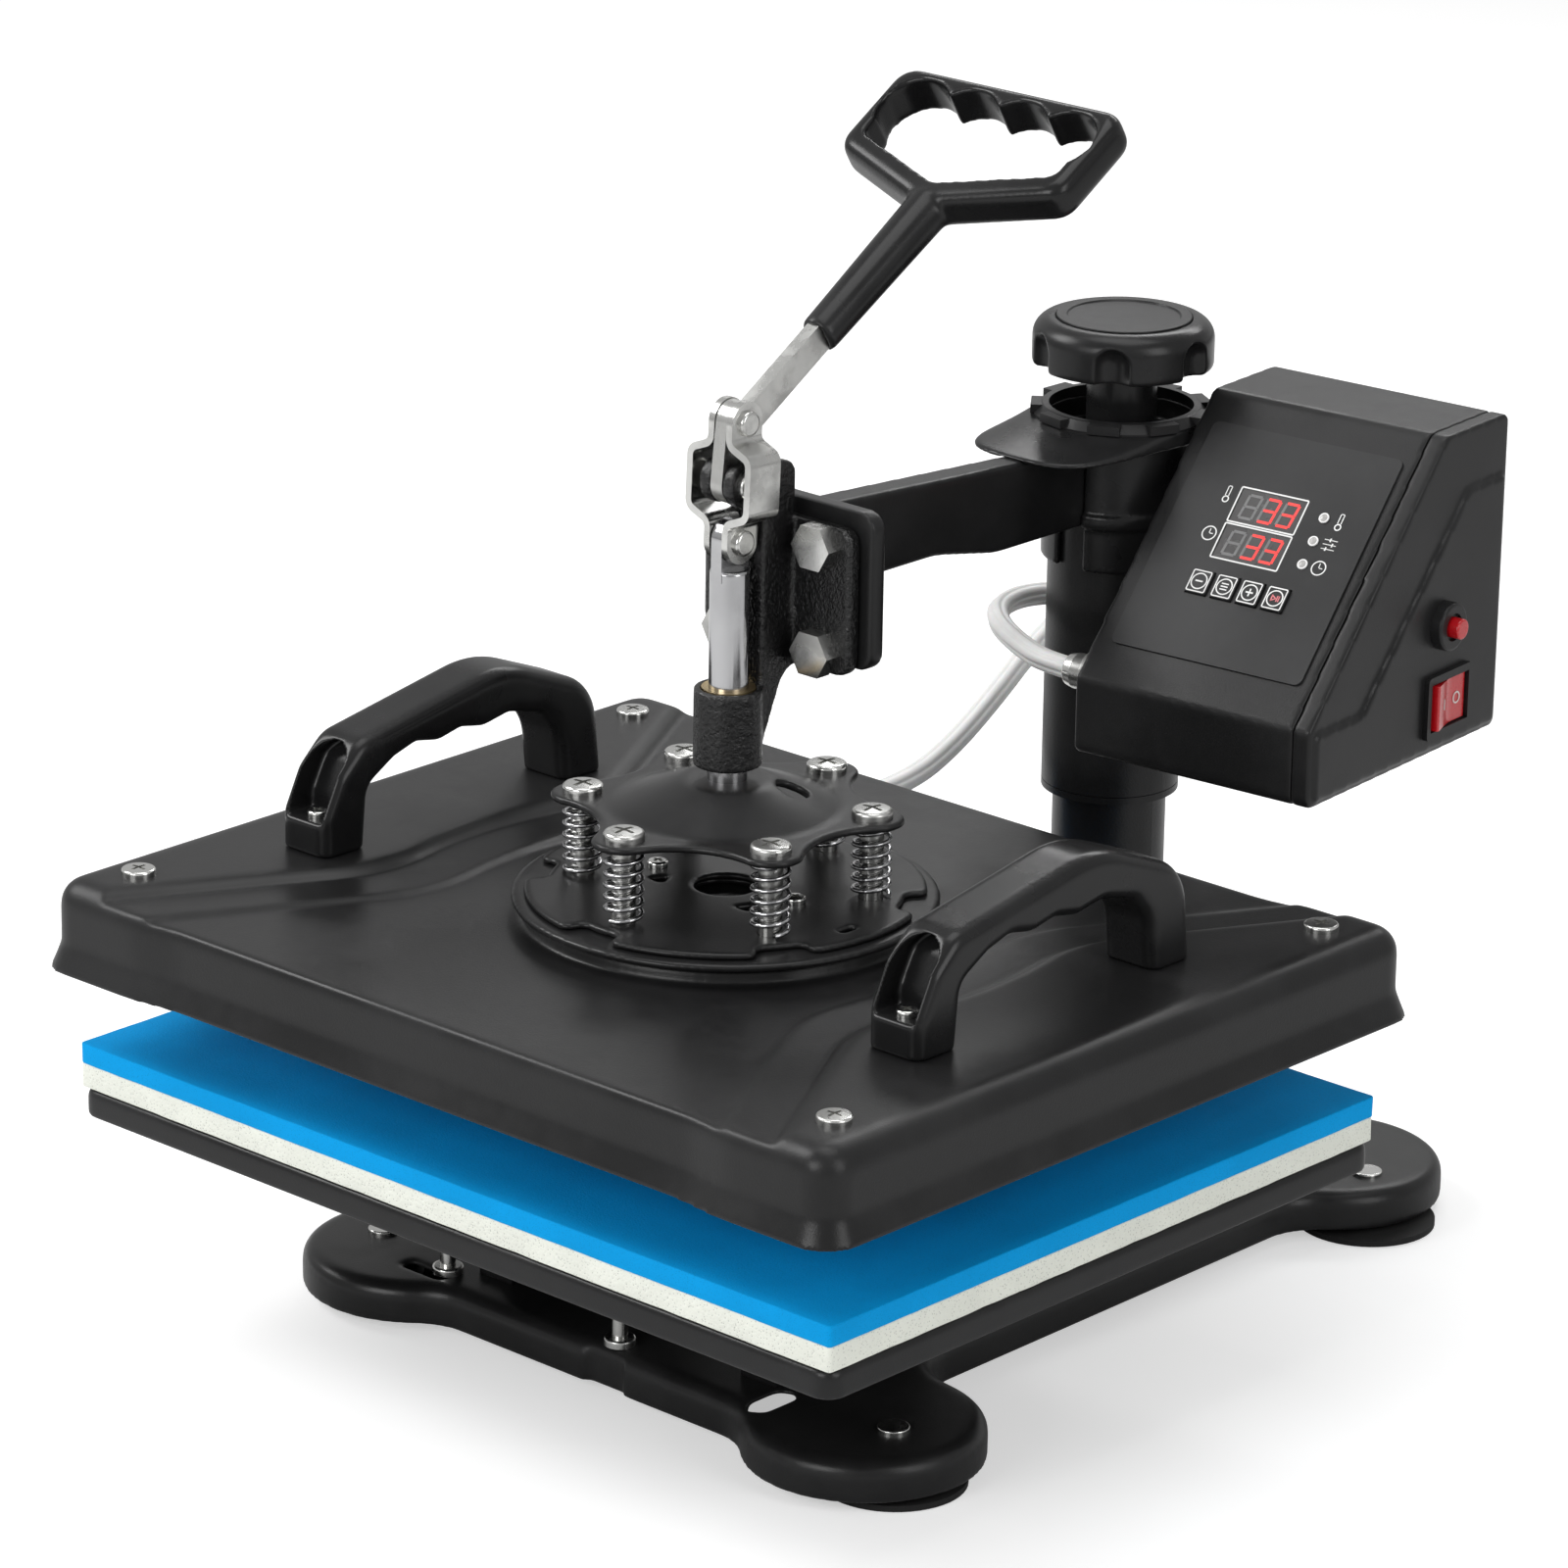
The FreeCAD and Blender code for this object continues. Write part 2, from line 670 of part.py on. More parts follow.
frame = new_body("base_frame")
pad(frame, [square_outline(0, (base_front_y + base_rear_y) / 2, 2 * base_half_width,
                           base_rear_y - base_front_y)], "base_height", skirt_gap)
joined = pad(frame, [circle_outline(x, y, lobe_radius) for x, y in lobes], "base_height", skirt_gap)
joined = round_body(frame, joined, "base_corner_round", standing)
joined = round_body(frame, joined, "base_edge_round", lambda edge: flat_at(edge, base_top))
lip = square_outline(pin_inner_x, base_front_y, 2 * lip_notch_half, 2 * lip_notch_depth)
pocket(frame, [lip], "base_height", base_top)
inner_front = base_front_y + lip_notch_depth + base_wall
inner_rear = base_rear_y - base_wall
hollow = square_outline(0, (inner_front + inner_rear) / 2, 2 * (base_half_width - base_wall),
                        inner_rear - inner_front)
pocket(frame, [hollow], "base_height - base_wall", base_top - base_wall)
pocket(frame, [circle_outline(x, y, lobe_radius - base_wall) for x, y in lobes],
       "base_height - base_wall", base_top - base_wall)
pocket(frame, [circles_outline(feet, screw_radius), circles_outline(flange_bolts_at, bolt_shank),
               square_outline(-92.5, -64, 21, 6), hull_outline((82, -67), 5, (82, -55), 5)], "base_wall", base_top)
seat(frame, 0, 0, 0)

foot_top = base_top - base_wall
foot_shape = spun_shape([(0, foot_cup_height, 0), (0, foot_top, 0), (foot_neck_radius, foot_top, 0),
                         (foot_neck_radius, skirt_gap + 6, 2), (foot_neck_radius + 5, skirt_gap + 3, 2),
                         (foot_neck_radius + 6.5, skirt_gap - 0.3, 0), (foot_radius, skirt_gap - 1.6, 0),
                         (foot_radius, 0, 0), (foot_radius - foot_ring, 0, 0),
                         (foot_neck_radius + 2, foot_cup_height, 2)])
foot_hole = Part.makeCylinder(screw_radius, foot_top, Vector())
rubber_feet = feature(Part.makeCompound([moved(foot_shape.cut(foot_hole), x, y, 0) for x, y in feet]))
seat(keep(rubber_feet, "rubber_feet"), 0, 0, 0)

eyelet_shape = spun_shape([(0, foot_cup_height, 0), (screw_radius, foot_cup_height, 0), (screw_radius, base_top, 0),
                           (eyelet_radius, base_top, 0), (eyelet_radius, base_top + eyelet_height, 0.6),
                           (0, base_top + eyelet_height, 0)])
flange_top = base_top + flange_thickness
hex_head = slab_shape([hex_outline(3.2 * bolt_shank)], 1.4 * bolt_shank)
flange_bolt_shape = Part.makeCylinder(bolt_shank, flange_top - foot_top).fuse(
    [moved(hex_head, 0, 0, flange_top - foot_top), moved(hex_head, 0, 0, -1.4 * bolt_shank)]).removeSplitter()
base_fasteners = feature(Part.makeCompound(
    [moved(eyelet_shape, x, y, 0) for x, y in feet]
    + [moved(flange_bolt_shape, x, y, foot_top) for x, y in flange_bolts_at]))
seat(keep(base_fasteners, "base_fasteners"), 0, 0, 0)

flange = new_body("post_flange")
pad(flange, [box_outline(flange_width, flange_width, base_edge_round), circle_outline(0, 0, post_radius)],
    "flange_thickness")
pocket(flange, [circles_outline([(x, y - post_y) for x, y in flange_bolts_at], bolt_shank)],
       "flange_thickness", flange_thickness)
seat(flange, 0, post_y, base_top)

tube_height = "post_top - skirt_gap - base_height"
keep(cut(cylinder("post_radius", tube_height, 0, post_y, base_top),
         cylinder("post_radius - post_wall", tube_height, 0, post_y, base_top)), "post_tube")
keep(cut(cylinder("post_radius - post_wall", "nut_height", 0, post_y, post_top - nut_height),
         cylinder("screw_thread_radius + running_gap", "nut_height", 0, post_y, post_top - nut_height)), "post_nut")

# Bridge, guide pins, tray and pads
bridge_top = tray_top - tray_wall
bridge = new_body("tray_support")
hat = [(-support_half_width - support_foot, base_top, 0), (-support_half_width + support_wall, base_top, 0),
       (-support_half_width + support_wall, bridge_top - support_wall, 4),
       (support_half_width - support_wall, bridge_top - support_wall, 4),
       (support_half_width - support_wall, base_top, 0), (support_half_width + support_foot, base_top, 0),
       (support_half_width + support_foot, base_top + support_wall, 0),
       (support_half_width, base_top + support_wall, 4), (support_half_width, bridge_top, 6),
       (-support_half_width, bridge_top, 6), (-support_half_width, base_top + support_wall, 4),
       (-support_half_width - support_foot, base_top + support_wall, 0)]
front_pad(bridge, [rounded_outline(hat)], "support_length", -support_length / 2)
seat(bridge, 0, 0, 0)

pin_shape = spun_shape([(0, base_top, 0), (2 * pin_radius, base_top, 0), (2 * pin_radius, base_top + pin_radius, 1),
                        (pin_radius, base_top + pin_radius, 0), (pin_radius, bridge_top, 0), (0, bridge_top, 0)])
guide_pins = feature(Part.makeCompound([moved(pin_shape, x, y, 0) for x, y in pins_at]))
seat(keep(guide_pins, "guide_pins"), 0, 0, 0)

tray = new_body("tray")
tray_block = pad(tray, [box_outline(pad_width, pad_depth, tray_corner)], "tray_height")
round_body(tray, tray_block, "tray_round", lambda edge: flat_at(edge, tray_height))
pocket(tray, [box_outline(pad_width - 2 * tray_wall, pad_depth - 2 * tray_wall, tray_corner - tray_wall)],
       "tray_height - tray_wall", tray_height - tray_wall)
seat(tray, 0, 0, tray_bottom)

foam = new_body("foam_pad")
pad(foam, [box_outline(pad_width, pad_depth, pad_corner)], "foam_height")
seat(foam, 0, 0, tray_top)

silicone = new_body("silicone_pad")
pad(silicone, [box_outline(pad_width, pad_depth, pad_corner)], "silicone_height")
seat(silicone, 0, 0, foam_top)

# Pressure screw: bush, screw, knob and knob cap
bush_bottom = sleeve_bottom - touch_gap
bush_top = sleeve_top - touch_gap
bush_lid = bush_top - 5.5
thrust_bush = spun_body("thrust_bush", [(bush_inner, bush_bottom - 2.7, 0), (sleeve_radius, bush_bottom - 2.7, 0),
                                        (sleeve_radius, bush_bottom, 0), (bush_outer, bush_bottom, 0),
                                        (bush_outer, bush_top, 0), (screw_bore, bush_top, 0),
                                        (screw_bore, bush_lid, 0), (bush_inner, bush_lid, 0)])
seat(thrust_bush, 0, post_y, 0)

stem_bottom = bush_top + touch_gap
knob_top = knob_bottom + knob_height
knob_shape = spun_shape([(0, stem_bottom + 12, 0), (screw_thread_radius, stem_bottom + 12, 0),
                         (screw_thread_radius, stem_bottom, 0), (stem_radius, stem_bottom, 0),
                         (stem_radius, knob_bottom, 3), (knob_radius, knob_bottom, 2), (knob_radius, knob_top, knob_round),
                         (knob_cap_radius, knob_top, 0), (knob_cap_radius, knob_top - 2, 0), (0, knob_top - 2, 0)])
flute_ball = knob_bottom + knob_flute_height - knob_flute_radius
flute = Part.makeCylinder(knob_flute_radius, flute_ball - knob_bottom + 1, Vector(knob_flute_reach, 0, knob_bottom - 1))
flute = flute.fuse(Part.makeSphere(knob_flute_radius, Vector(knob_flute_reach, 0, flute_ball))).removeSplitter()
knob_heading = 3.0
knob_shape = knob_shape.cut([moved(flute, 0, 0, 0, Rotation(Vector(0, 0, 1), knob_heading + i * 360 / knob_flutes))
                             for i in range(int(knob_flutes))])
seat(keep(feature(knob_shape), "knob"), 0, post_y, 0)

cap_rim = knob_cap_radius - 4
cap_plate = spun_body("knob_cap", [(0, -2, 0), (knob_cap_radius, -2, 0), (knob_cap_radius, 0.6, 0.4),
                                   (cap_rim, 0.6, 0.2), (cap_rim - 0.6, 0, 0), (0, 0, 0)])
seat(cap_plate, 0, post_y, knob_top)

lead_bottom = post_top - nut_height - lead_below
lead = spun_body("lead_screw", [(0, lead_bottom, 0), (screw_thread_radius, lead_bottom, 1.5),
                                (screw_thread_radius, stem_bottom + 12, 0), (0, stem_bottom + 12, 0)])
seat(lead, 0, post_y, 0)

# Arm, sleeve, hood and lock ring
box_place = Placement(Vector(box_x, platen_y + box_y, box_bottom), Rotation(Vector(0, 0, 1), box_yaw))
post_in_box = box_place.inverse().multVec(Vector(0, post_line, box_bottom))
lug_height, lug_width = 42.0, 34.0
sleeve_height = "sleeve_top - sleeve_bottom"
lug = doc.addObject("Part::Box", "Lug")
lug.Length = -post_in_box.x
lug.Width = lug_width
lug.Height = lug_height
lug.Placement = box_place.multiply(Placement(Vector(post_in_box.x, post_in_box.y - lug_width / 2, 5), UPRIGHT))
keep(cut(fuse(cylinder("sleeve_radius", sleeve_height, 0, post_y, sleeve_bottom), lug),
         cylinder("post_radius + bush_wall + 2 * running_gap", sleeve_height, 0, post_y, sleeve_bottom)), "sleeve")

arm = new_body("arm")
bar_front = end_plate_y + end_plate_thickness
side_pad(arm, [rounded_outline([(bar_front - 1, arm_top_front, 0), (bar_front - 1, arm_bottom - 6, 0),
                                (bar_front + 6, arm_bottom, 8), (post_y - arm_step_front, arm_bottom, 60),
                                (post_y - arm_step_rear, arm_bottom_rear, 60), (post_y, arm_bottom_rear, 0),
                                (post_y, arm_top_rear, 0), (bar_front + 6, arm_top_front, 10)])],
         "arm_thickness")
pocket(arm, [circle_outline(0, post_y, sleeve_radius)], "arm_top_front - arm_bottom_rear + 2", arm_top_front + 1)
front_pad(arm, [rounded_outline([(i * end_plate_width / 2, end_plate_middle + 4 + j * end_plate_height / 2, 7)
                                 for i, j in ((-1, -1), (1, -1), (1, 1), (-1, 1))])],
          "end_plate_thickness", end_plate_y)
plate_bolts = [(i * plate_bolt_x, end_plate_middle + j * plate_bolt_z) for i in (-1, 1) for j in (-1, 1)]
front_pocket(arm, [circles_outline(plate_bolts, plate_bolt_radius)], "end_plate_thickness", end_plate_y)
seat(arm, 0, 0, 0)



def brim_wire(places, height):
    """A smooth closed line through places given as (angle in degrees, radius) round the post."""
    curve = Part.BSplineCurve()
    curve.interpolate([polar(radius, math.radians(angle)) + Vector(0, 0, height) for angle, radius in places],
                      PeriodicFlag=True)
    return Part.Wire(curve.toShape())


# The brim's edge: level with the hood behind, drawn out over the arm in front
brim_half = [(12, 65.2), (22, 63.2), (28, 59.3), (36.5, 52), (45, 45.8), (59, 38.6), (75, 35.2), (95, 34.8),
             (125, 34.8), (155, 34.8)]
brim_places = [(-90 - turn, radius) for turn, radius in reversed(brim_half)]
brim_places += [(-90, 65)] + [(turn - 90, radius) for turn, radius in brim_half] + [(90, 34.8)]
brim_crest = [(angle, ring_outer + 0.4 + 0.05 * (radius - 34.8)) for angle, radius in brim_places]
brim_low = brim_edge - brim_thickness
brim = Part.makeLoft([brim_wire(brim_places, brim_low), brim_wire(brim_places, brim_edge)], True, True)
brim = brim.fuse(Part.makeLoft([brim_wire(brim_places, brim_edge), brim_wire(brim_crest, brim_top)], True, True))
hood_shape = brim.fuse([Part.makeCylinder(hood_radius, brim_low - hood_bottom, Vector(0, 0, hood_bottom)),
                        Part.makeCylinder(hood_radius + hood_bead, hood_bead_height,
                                          Vector(0, 0, hood_bottom + 18))]).removeSplitter()
arm_slot = Part.makeBox(arm_thickness, 2 * hood_radius + 60, 60,
                        Vector(-arm_thickness / 2, -2 * hood_radius - 60, brim_low + 0.6 - 60))
hood_shape = hood_shape.cut([Part.makeCylinder(sleeve_radius, sleeve_top - hood_bottom + 1, Vector(0, 0, hood_bottom - 1)),
                             Part.makeCylinder(ring_inner, brim_top, Vector(0, 0, sleeve_top + 3)),
                             Part.makeCylinder(stem_radius + 0.6, brim_top, Vector(0, 0, sleeve_top - 1)), arm_slot])
seat(keep(feature(hood_shape), "hood"), 0, post_y, 0)

tab_angles = [math.radians(-61.5 + 360 / ring_tabs * i) for i in range(int(ring_tabs))]
ring_shape = spun_shape([(ring_inner, 0, 0), (ring_outer, 0, 0), (ring_outer, 0.8, 0), (ring_inner + 2.6, ring_height, 0.6),
                         (ring_inner, ring_height, 0)])
tab = Part.makeBox(5, ring_tab_length, ring_tab_height, Vector(ring_outer - 4, -ring_tab_length / 2, 0.4))
ring_shape = ring_shape.fuse([moved(tab, 0, 0, 0, Rotation(Vector(0, 0, 1), math.degrees(turn)))
                              for turn in tab_angles]).removeSplitter()
seat(keep(feature(ring_shape), "lock_ring"), 0, post_y, brim_top)

# Bracket, its bolts and the lever's pivot pin
bracket = new_body("bracket")
flange_y = end_plate_y - flange_plate_thickness
flange_low = end_plate_middle - flange_plate_height / 2
flange_high = end_plate_middle + flange_plate_height / 2
rib_front = rod_radius + 1.6
pad(bracket, [circle_outline(0, 0, collar_radius)], "collar_top - collar_bottom", collar_bottom)
side_pad(bracket, [rounded_outline([(rib_front, collar_bottom + 4, 0), (flange_y - 3, flange_low, 12),
                                    (flange_y + 1, flange_low, 0), (flange_y + 1, flange_high + 2, 0),
                                    (rib_front, flange_high - 4, 0)])], "rib_thickness")
front_pad(bracket, [rounded_outline([(i * flange_plate_width / 2, end_plate_middle + j * flange_plate_height / 2, 6)
                                     for i, j in ((-1, -1), (1, -1), (1, 1), (-1, 1))])],
          "flange_plate_thickness", flange_y)
ear = rounded_outline([(-ear_radius, pivot_height - ear_radius, ear_radius - 0.5),
                       (rib_front + 0.4, pivot_height - ear_radius, 0), (rib_front + 0.4, flange_high - 8, 0),
                       (flange_y + 1, flange_high - 8, 0), (flange_y + 1, pivot_height + 4, 6),
                       (ear_radius, pivot_height + ear_radius, 6),
                       (-ear_radius, pivot_height + ear_radius, ear_radius - 0.5)])
side_pad(bracket, [ear], "2 * ear_gap + 2 * ear_thickness")
slot = rounded_outline([(-ear_radius - 9, pivot_height - ear_radius - 6, 0), (rib_front + 8, flange_high + 1, 0),
                        (flange_y + 2, flange_high + 4, 0), (flange_y + 2, pivot_height + 40, 0),
                        (-ear_radius - 9, pivot_height + 40, 0)])
ear_slot = side_pocket(bracket, [slot])
ear_slot.Type = 0
tie(ear_slot, "Length", "2 * ear_gap")
side_pocket(bracket, [circle_outline(0, pivot_height, pivot_pin_radius)])
pocket(bracket, [circle_outline(0, 0, rod_bush_radius)], "collar_top - collar_bottom", collar_top)
front_pocket(bracket, [circles_outline(plate_bolts, plate_bolt_radius)], "flange_plate_thickness", flange_y)
seat(bracket, 0, 0, 0)

bolt_grip = flange_plate_thickness + end_plate_thickness
plate_bolt_head_shape = slab_shape([hex_outline(plate_bolt_flats)], plate_bolt_head)
plate_bolt = Part.makeCylinder(plate_bolt_radius, bolt_grip + 3).fuse(
    [moved(plate_bolt_head_shape, 0, 0, -plate_bolt_head), moved(plate_bolt_head_shape, 0, 0, bolt_grip)])
flange_bolts = feature(Part.makeCompound([moved(plate_bolt.removeSplitter(), x, flange_y, z, ALONG_Y)
                                          for x, z in plate_bolts]))
seat(keep(flange_bolts, "flange_bolts"), 0, 0, 0)

pin_reach = ear_gap + ear_thickness
pivot_pin = spun_body("pivot_pin", [(0, -pin_reach - pivot_head_height, 0),
                                    (pivot_head_radius, -pin_reach - pivot_head_height, 1),
                                    (pivot_head_radius, -pin_reach, 0), (pivot_pin_radius, -pin_reach, 0),
                                    (pivot_pin_radius, pin_reach, 0), (pivot_head_radius, pin_reach, 0),
                                    (pivot_head_radius, pin_reach + pivot_head_height, 1),
                                    (0, pin_reach + pivot_head_height, 0)])
seat(pivot_pin, 0, 0, pivot_height, ALONG_X)

keep(cut(cylinder("rod_bush_radius", "collar_top - collar_bottom", 0, 0, collar_bottom),
         cylinder("rod_radius + running_gap", "collar_top - collar_bottom", 0, 0, collar_bottom)),
     "plunger_bush")

# Lever: bar and D-shaped grip
tilt = math.radians(lever_tilt)
bar_start = (bar_offset_y, pivot_height + bar_offset_z)


def on_bar(along, across):
    """A side-view point measured along the lever bar and across it, towards the top."""
    return (bar_start[0] + along * math.sin(tilt) - across * math.cos(tilt),
            bar_start[1] + along * math.cos(tilt) + across * math.sin(tilt))


bar_end = grip_start + tang_length
lever_bar = new_body("lever_bar")
side_pad(lever_bar, [hull_outline((0, pivot_height), 8, (pin_top_y, pin_top_z), 7.5)], "bar_thickness")
bar_corners = [on_bar(-6, -bar_width / 2), on_bar(bar_end, -bar_width / 2), on_bar(bar_end, bar_width / 2),
               on_bar(-6, bar_width / 2)]
side_pad(lever_bar, [rounded_outline([(y, z, r) for (y, z), r in zip(bar_corners, (0, 2, 2, 2))])],
         "bar_thickness")
side_pocket(lever_bar, [circle_outline(0, pivot_height, pivot_pin_radius + running_gap)])
side_pocket(lever_bar, [circle_outline(pin_top_y, pin_top_z, rivet_radius + running_gap)])
seat(lever_bar, 0, 0, 0)

grip_outer = rounded_outline([(0, grip_vertex, 10), (grip_half_width, grip_side_start, grip_corner),
                              (grip_half_width, grip_end, grip_corner), (-grip_half_width, grip_end, grip_corner),
                              (-grip_half_width, grip_side_start, grip_corner)])
inner_half = grip_half_width - grip_wall
inner_low = grip_side_start + grip_wall
grip_inner = rounded_outline([(0, grip_vertex + grip_wall + 3, 6), (inner_half, inner_low, 5),
                              (inner_half, grip_end - grip_top_wall, 4), (-inner_half, grip_end - grip_top_wall, 4),
                              (-inner_half, inner_low, 5)])
rounding = grip_thickness * 0.3
grip_block = slab_shape([grip_outer], grip_thickness)
grip_block = grip_block.makeFillet(rounding, [edge for edge in grip_block.Edges if not standing(edge)])
grip_hole = slab_shape([grip_inner], grip_thickness + 2)
grip_hole.translate(Vector(0, 0, -1))
scallop_at = grip_end - grip_top_wall - finger_radius + finger_depth
scallops = [Part.makeCylinder(finger_radius, grip_thickness + 2, Vector(i * finger_pitch / 2, scallop_at, -1))
            for i in (-3, -1, 1, 3)]
grip_block = grip_block.cut(grip_hole.fuse(scallops).removeSplitter())
grip_block.translate(Vector(0, 0, -grip_thickness / 2))
shank_shape = Part.makeCone(shank_radius_low, shank_radius_high, grip_vertex + 6 - grip_start,
                            Vector(0, grip_start, 0), Vector(0, 1, 0))
tang_slot = Part.makeBox(bar_thickness, tang_length, bar_width,
                         Vector(-bar_thickness / 2, grip_start, -bar_width / 2))
tang_slot = tang_slot.makeFillet(2, [edge for edge in tang_slot.Edges
                                     if abs(edge.BoundBox.YMin - bar_end) < 0.01
                                     and abs(edge.BoundBox.YMax - bar_end) < 0.01 and edge.BoundBox.XLength > 1])
grip_shape = grip_block.fuse(shank_shape).removeSplitter().cut(tang_slot)
lever_handle = feature(grip_shape)
seat(keep(lever_handle, "lever_handle"), 0, bar_start[0], bar_start[1],
     Rotation(Vector(1, 0, 0), 90 - lever_tilt))

# Links
low, high = 0.0, link_length
bow_low = link_length / 2 - link_bow_half
bow_high = link_length / 2 + link_bow_half
end_inner = bar_thickness / 2 + link_gap
link_bend = math.atan2(link_bow_inner - end_inner, link_bow_slope)
shift = link_plate * math.tan(link_bend / 2)
bend_tight, bend_wide = 2.5, 2.5 + link_plate
strip_inner = [(end_inner, low - 9, 0), (end_inner, bow_low - link_bow_slope, bend_wide),
               (link_bow_inner, bow_low, bend_tight), (link_bow_inner, bow_high, bend_tight),
               (end_inner, bow_high + link_bow_slope, bend_wide), (end_inner, high + 9, 0)]
strip_outer = [(end_inner + link_plate, low - 9, 0),
               (end_inner + link_plate, bow_low - link_bow_slope - shift, bend_tight),
               (link_bow_inner + link_plate, bow_low - shift, bend_wide),
               (link_bow_inner + link_plate, bow_high + shift, bend_wide),
               (end_inner + link_plate, bow_high + link_bow_slope + shift, bend_tight),
               (end_inner + link_plate, high + 9, 0)]
strip = slab_shape([rounded_outline(strip_inner + list(reversed(strip_outer)))], link_width)
strip.Placement = Placement(Vector(0, link_width / 2, 0), FRONT_VIEW)
shadow = slab_shape([hull_outline((0, low), link_width / 2, (0, high), link_width / 2)], 2 * link_width)
shadow.Placement = Placement(Vector(0, 0, 0), SIDE_VIEW)
right_link = strip.common(shadow)
for z in (low, high):
    right_link = right_link.cut(Part.makeCylinder(rivet_radius, 4 * link_width, Vector(-2 * link_width, 0, z), Vector(1, 0, 0)))
left_link = right_link.mirror(Vector(), Vector(1, 0, 0))
links = feature(Part.makeCompound([right_link, left_link]))
link_lean = Rotation(Vector(1, 0, 0), -math.degrees(link_rest))
seat(keep(links, "links"), 0, 0, pin_low_z, link_lean)

rivet_reach = end_inner + link_plate
rivet_shape = spun_shape([(0, -rivet_reach - rivet_head_height, 0),
                          (rivet_head_radius, -rivet_reach - rivet_head_height, 1.2),
                          (rivet_head_radius, -rivet_reach, 0), (rivet_radius, -rivet_reach, 0),
                          (rivet_radius, rivet_reach, 0), (rivet_head_radius, rivet_reach, 0),
                          (rivet_head_radius, rivet_reach + rivet_head_height, 1.2),
                          (0, rivet_reach + rivet_head_height, 0)])
half_rivet = spun_shape([(0, end_inner, 0), (rivet_radius, end_inner, 0), (rivet_radius, rivet_reach, 0),
                         (rivet_head_radius, rivet_reach, 0),
                         (rivet_head_radius, rivet_reach + rivet_head_height, 1.2),
                         (0, rivet_reach + rivet_head_height, 0)])
half_rivet = moved(half_rivet, 0, 0, low, ALONG_X)
link_rivets = feature(Part.makeCompound([moved(rivet_shape, 0, 0, high, ALONG_X), half_rivet,
                                         half_rivet.mirror(Vector(), Vector(1, 0, 0))]))
seat(keep(link_rivets, "link_rivets"), 0, 0, pin_low_z, link_lean)

# Plunger: rod, spider, nut and springs
spring_angles = [math.radians(30 + 60 * i) for i in range(6)]
spring_spots = [tuple(polar(spring_circle, turn))[:2] for turn in spring_angles]
bolt_way = spring_bolt_radius + 0.4
dome_top = spider_top + spider_dome_rise
dome_under = dome_top - spider_thickness
nut_bottom = dome_under - rod_nut_height

plunger_rod = spun_body("plunger_rod", [(0, nut_bottom - 3, 0), (rod_stub_radius, nut_bottom - 3, 1),
                                        (rod_stub_radius, dome_top, 0), (rod_radius, dome_top, 0),
                                        (rod_radius, rod_top, 1.5), (0, rod_top, 0)])
side_pad(plunger_rod, [rounded_outline([(-rod_radius, rod_top - 4, 0), (rod_radius, rod_top - 4, 0),
                                        (rod_radius, pin_low_z + 8, 7), (-rod_radius, pin_low_z + 8, 7)])],
         "bar_thickness - 0.4")
seat(plunger_rod, 0, 0, 0)



def star_outline(lobe_radius, waist):
    """Round lobes over the springs, joined by hollows that come in to the waist radius between them."""
    step = math.pi / len(spring_angles)
    narrow = waist - lobe_radius
    hollow_reach = (spring_circle ** 2 - narrow ** 2) / (2 * (spring_circle * math.cos(step) - narrow))
    edges = []
    for turn in spring_angles:
        lobe, next_lobe = polar(spring_circle, turn), polar(spring_circle, turn + 2 * step)
        hollows = [polar(hollow_reach, turn + side * step) for side in (-1, 1)]
        before, after = [lobe + (hollow - lobe).normalize() * lobe_radius for hollow in hollows]
        beyond = next_lobe + (hollows[1] - next_lobe).normalize() * lobe_radius
        edges += [arc_about(lobe, before, after), arc_about(hollows[1], after, beyond)]
    return edges


spider_rim = spider_dome_radius + 3
spider = spun_body("spider", [(rod_stub_radius, dome_under, 0), (spider_crown_radius - 1, dome_under, spider_dome_round),
                              (spider_dome_radius - 2, spider_bottom, spider_dome_round),
                              (spider_rim, spider_bottom, 0), (spider_rim, spider_top, 0),
                              (spider_dome_radius, spider_top, spider_dome_round),
                              (spider_crown_radius, dome_top, spider_dome_round), (rod_stub_radius, dome_top, 0)])
star = pad(spider, [star_outline(spider_lobe_radius, spider_waist), circle_outline(0, 0, spider_rim - 1)],
           "spider_thickness", spider_bottom)
round_body(spider, star, 1, lambda edge: flat_at(edge, spider_top) and edge.BoundBox.Center.Length > 1
           and edge.Length < 100 and not isinstance(edge.Curve, Part.Line))
pocket(spider, [circles_outline(spring_spots, bolt_way)], 3 * spider_thickness, spider_top + spider_thickness)
pocket(spider, [circle_outline(spider_hole_x, spider_hole_y, spider_hole_radius)], 4 * spider_thickness, dome_top + 1)
seat(spider, 0, 0, 0)

plunger_nut = new_body("plunger_nut")
pad(plunger_nut, [hex_outline(rod_nut_flats), circle_outline(0, 0, rod_stub_radius)], "rod_nut_height")
seat(plunger_nut, 0, 0, nut_bottom)


def biarc(start, start_way, end, end_way):
    """Two arcs that leave start along start_way and reach end along end_way."""
    chord, ways = end - start, start_way + end_way
    a = ways.dot(ways) - 4
    b = -2 * chord.dot(ways)
    reach = (-b - math.sqrt(b * b - 4 * a * chord.dot(chord))) / (2 * a)
    knee_one, knee_two = start + start_way * reach, end - end_way * reach
    middle = (knee_one + knee_two) * 0.5
    arcs = []
    for first, knee, last in ((start, knee_one, middle), (middle, knee_two, end)):
        half_turn = (knee - first).getAngle(last - first)
        chord_middle = (first + last) * 0.5
        crown = chord_middle + (knee - chord_middle) * (math.tan(half_turn / 2) / math.tan(half_turn))
        arcs.append(Part.Arc(first, crown, last).toShape())
    return arcs


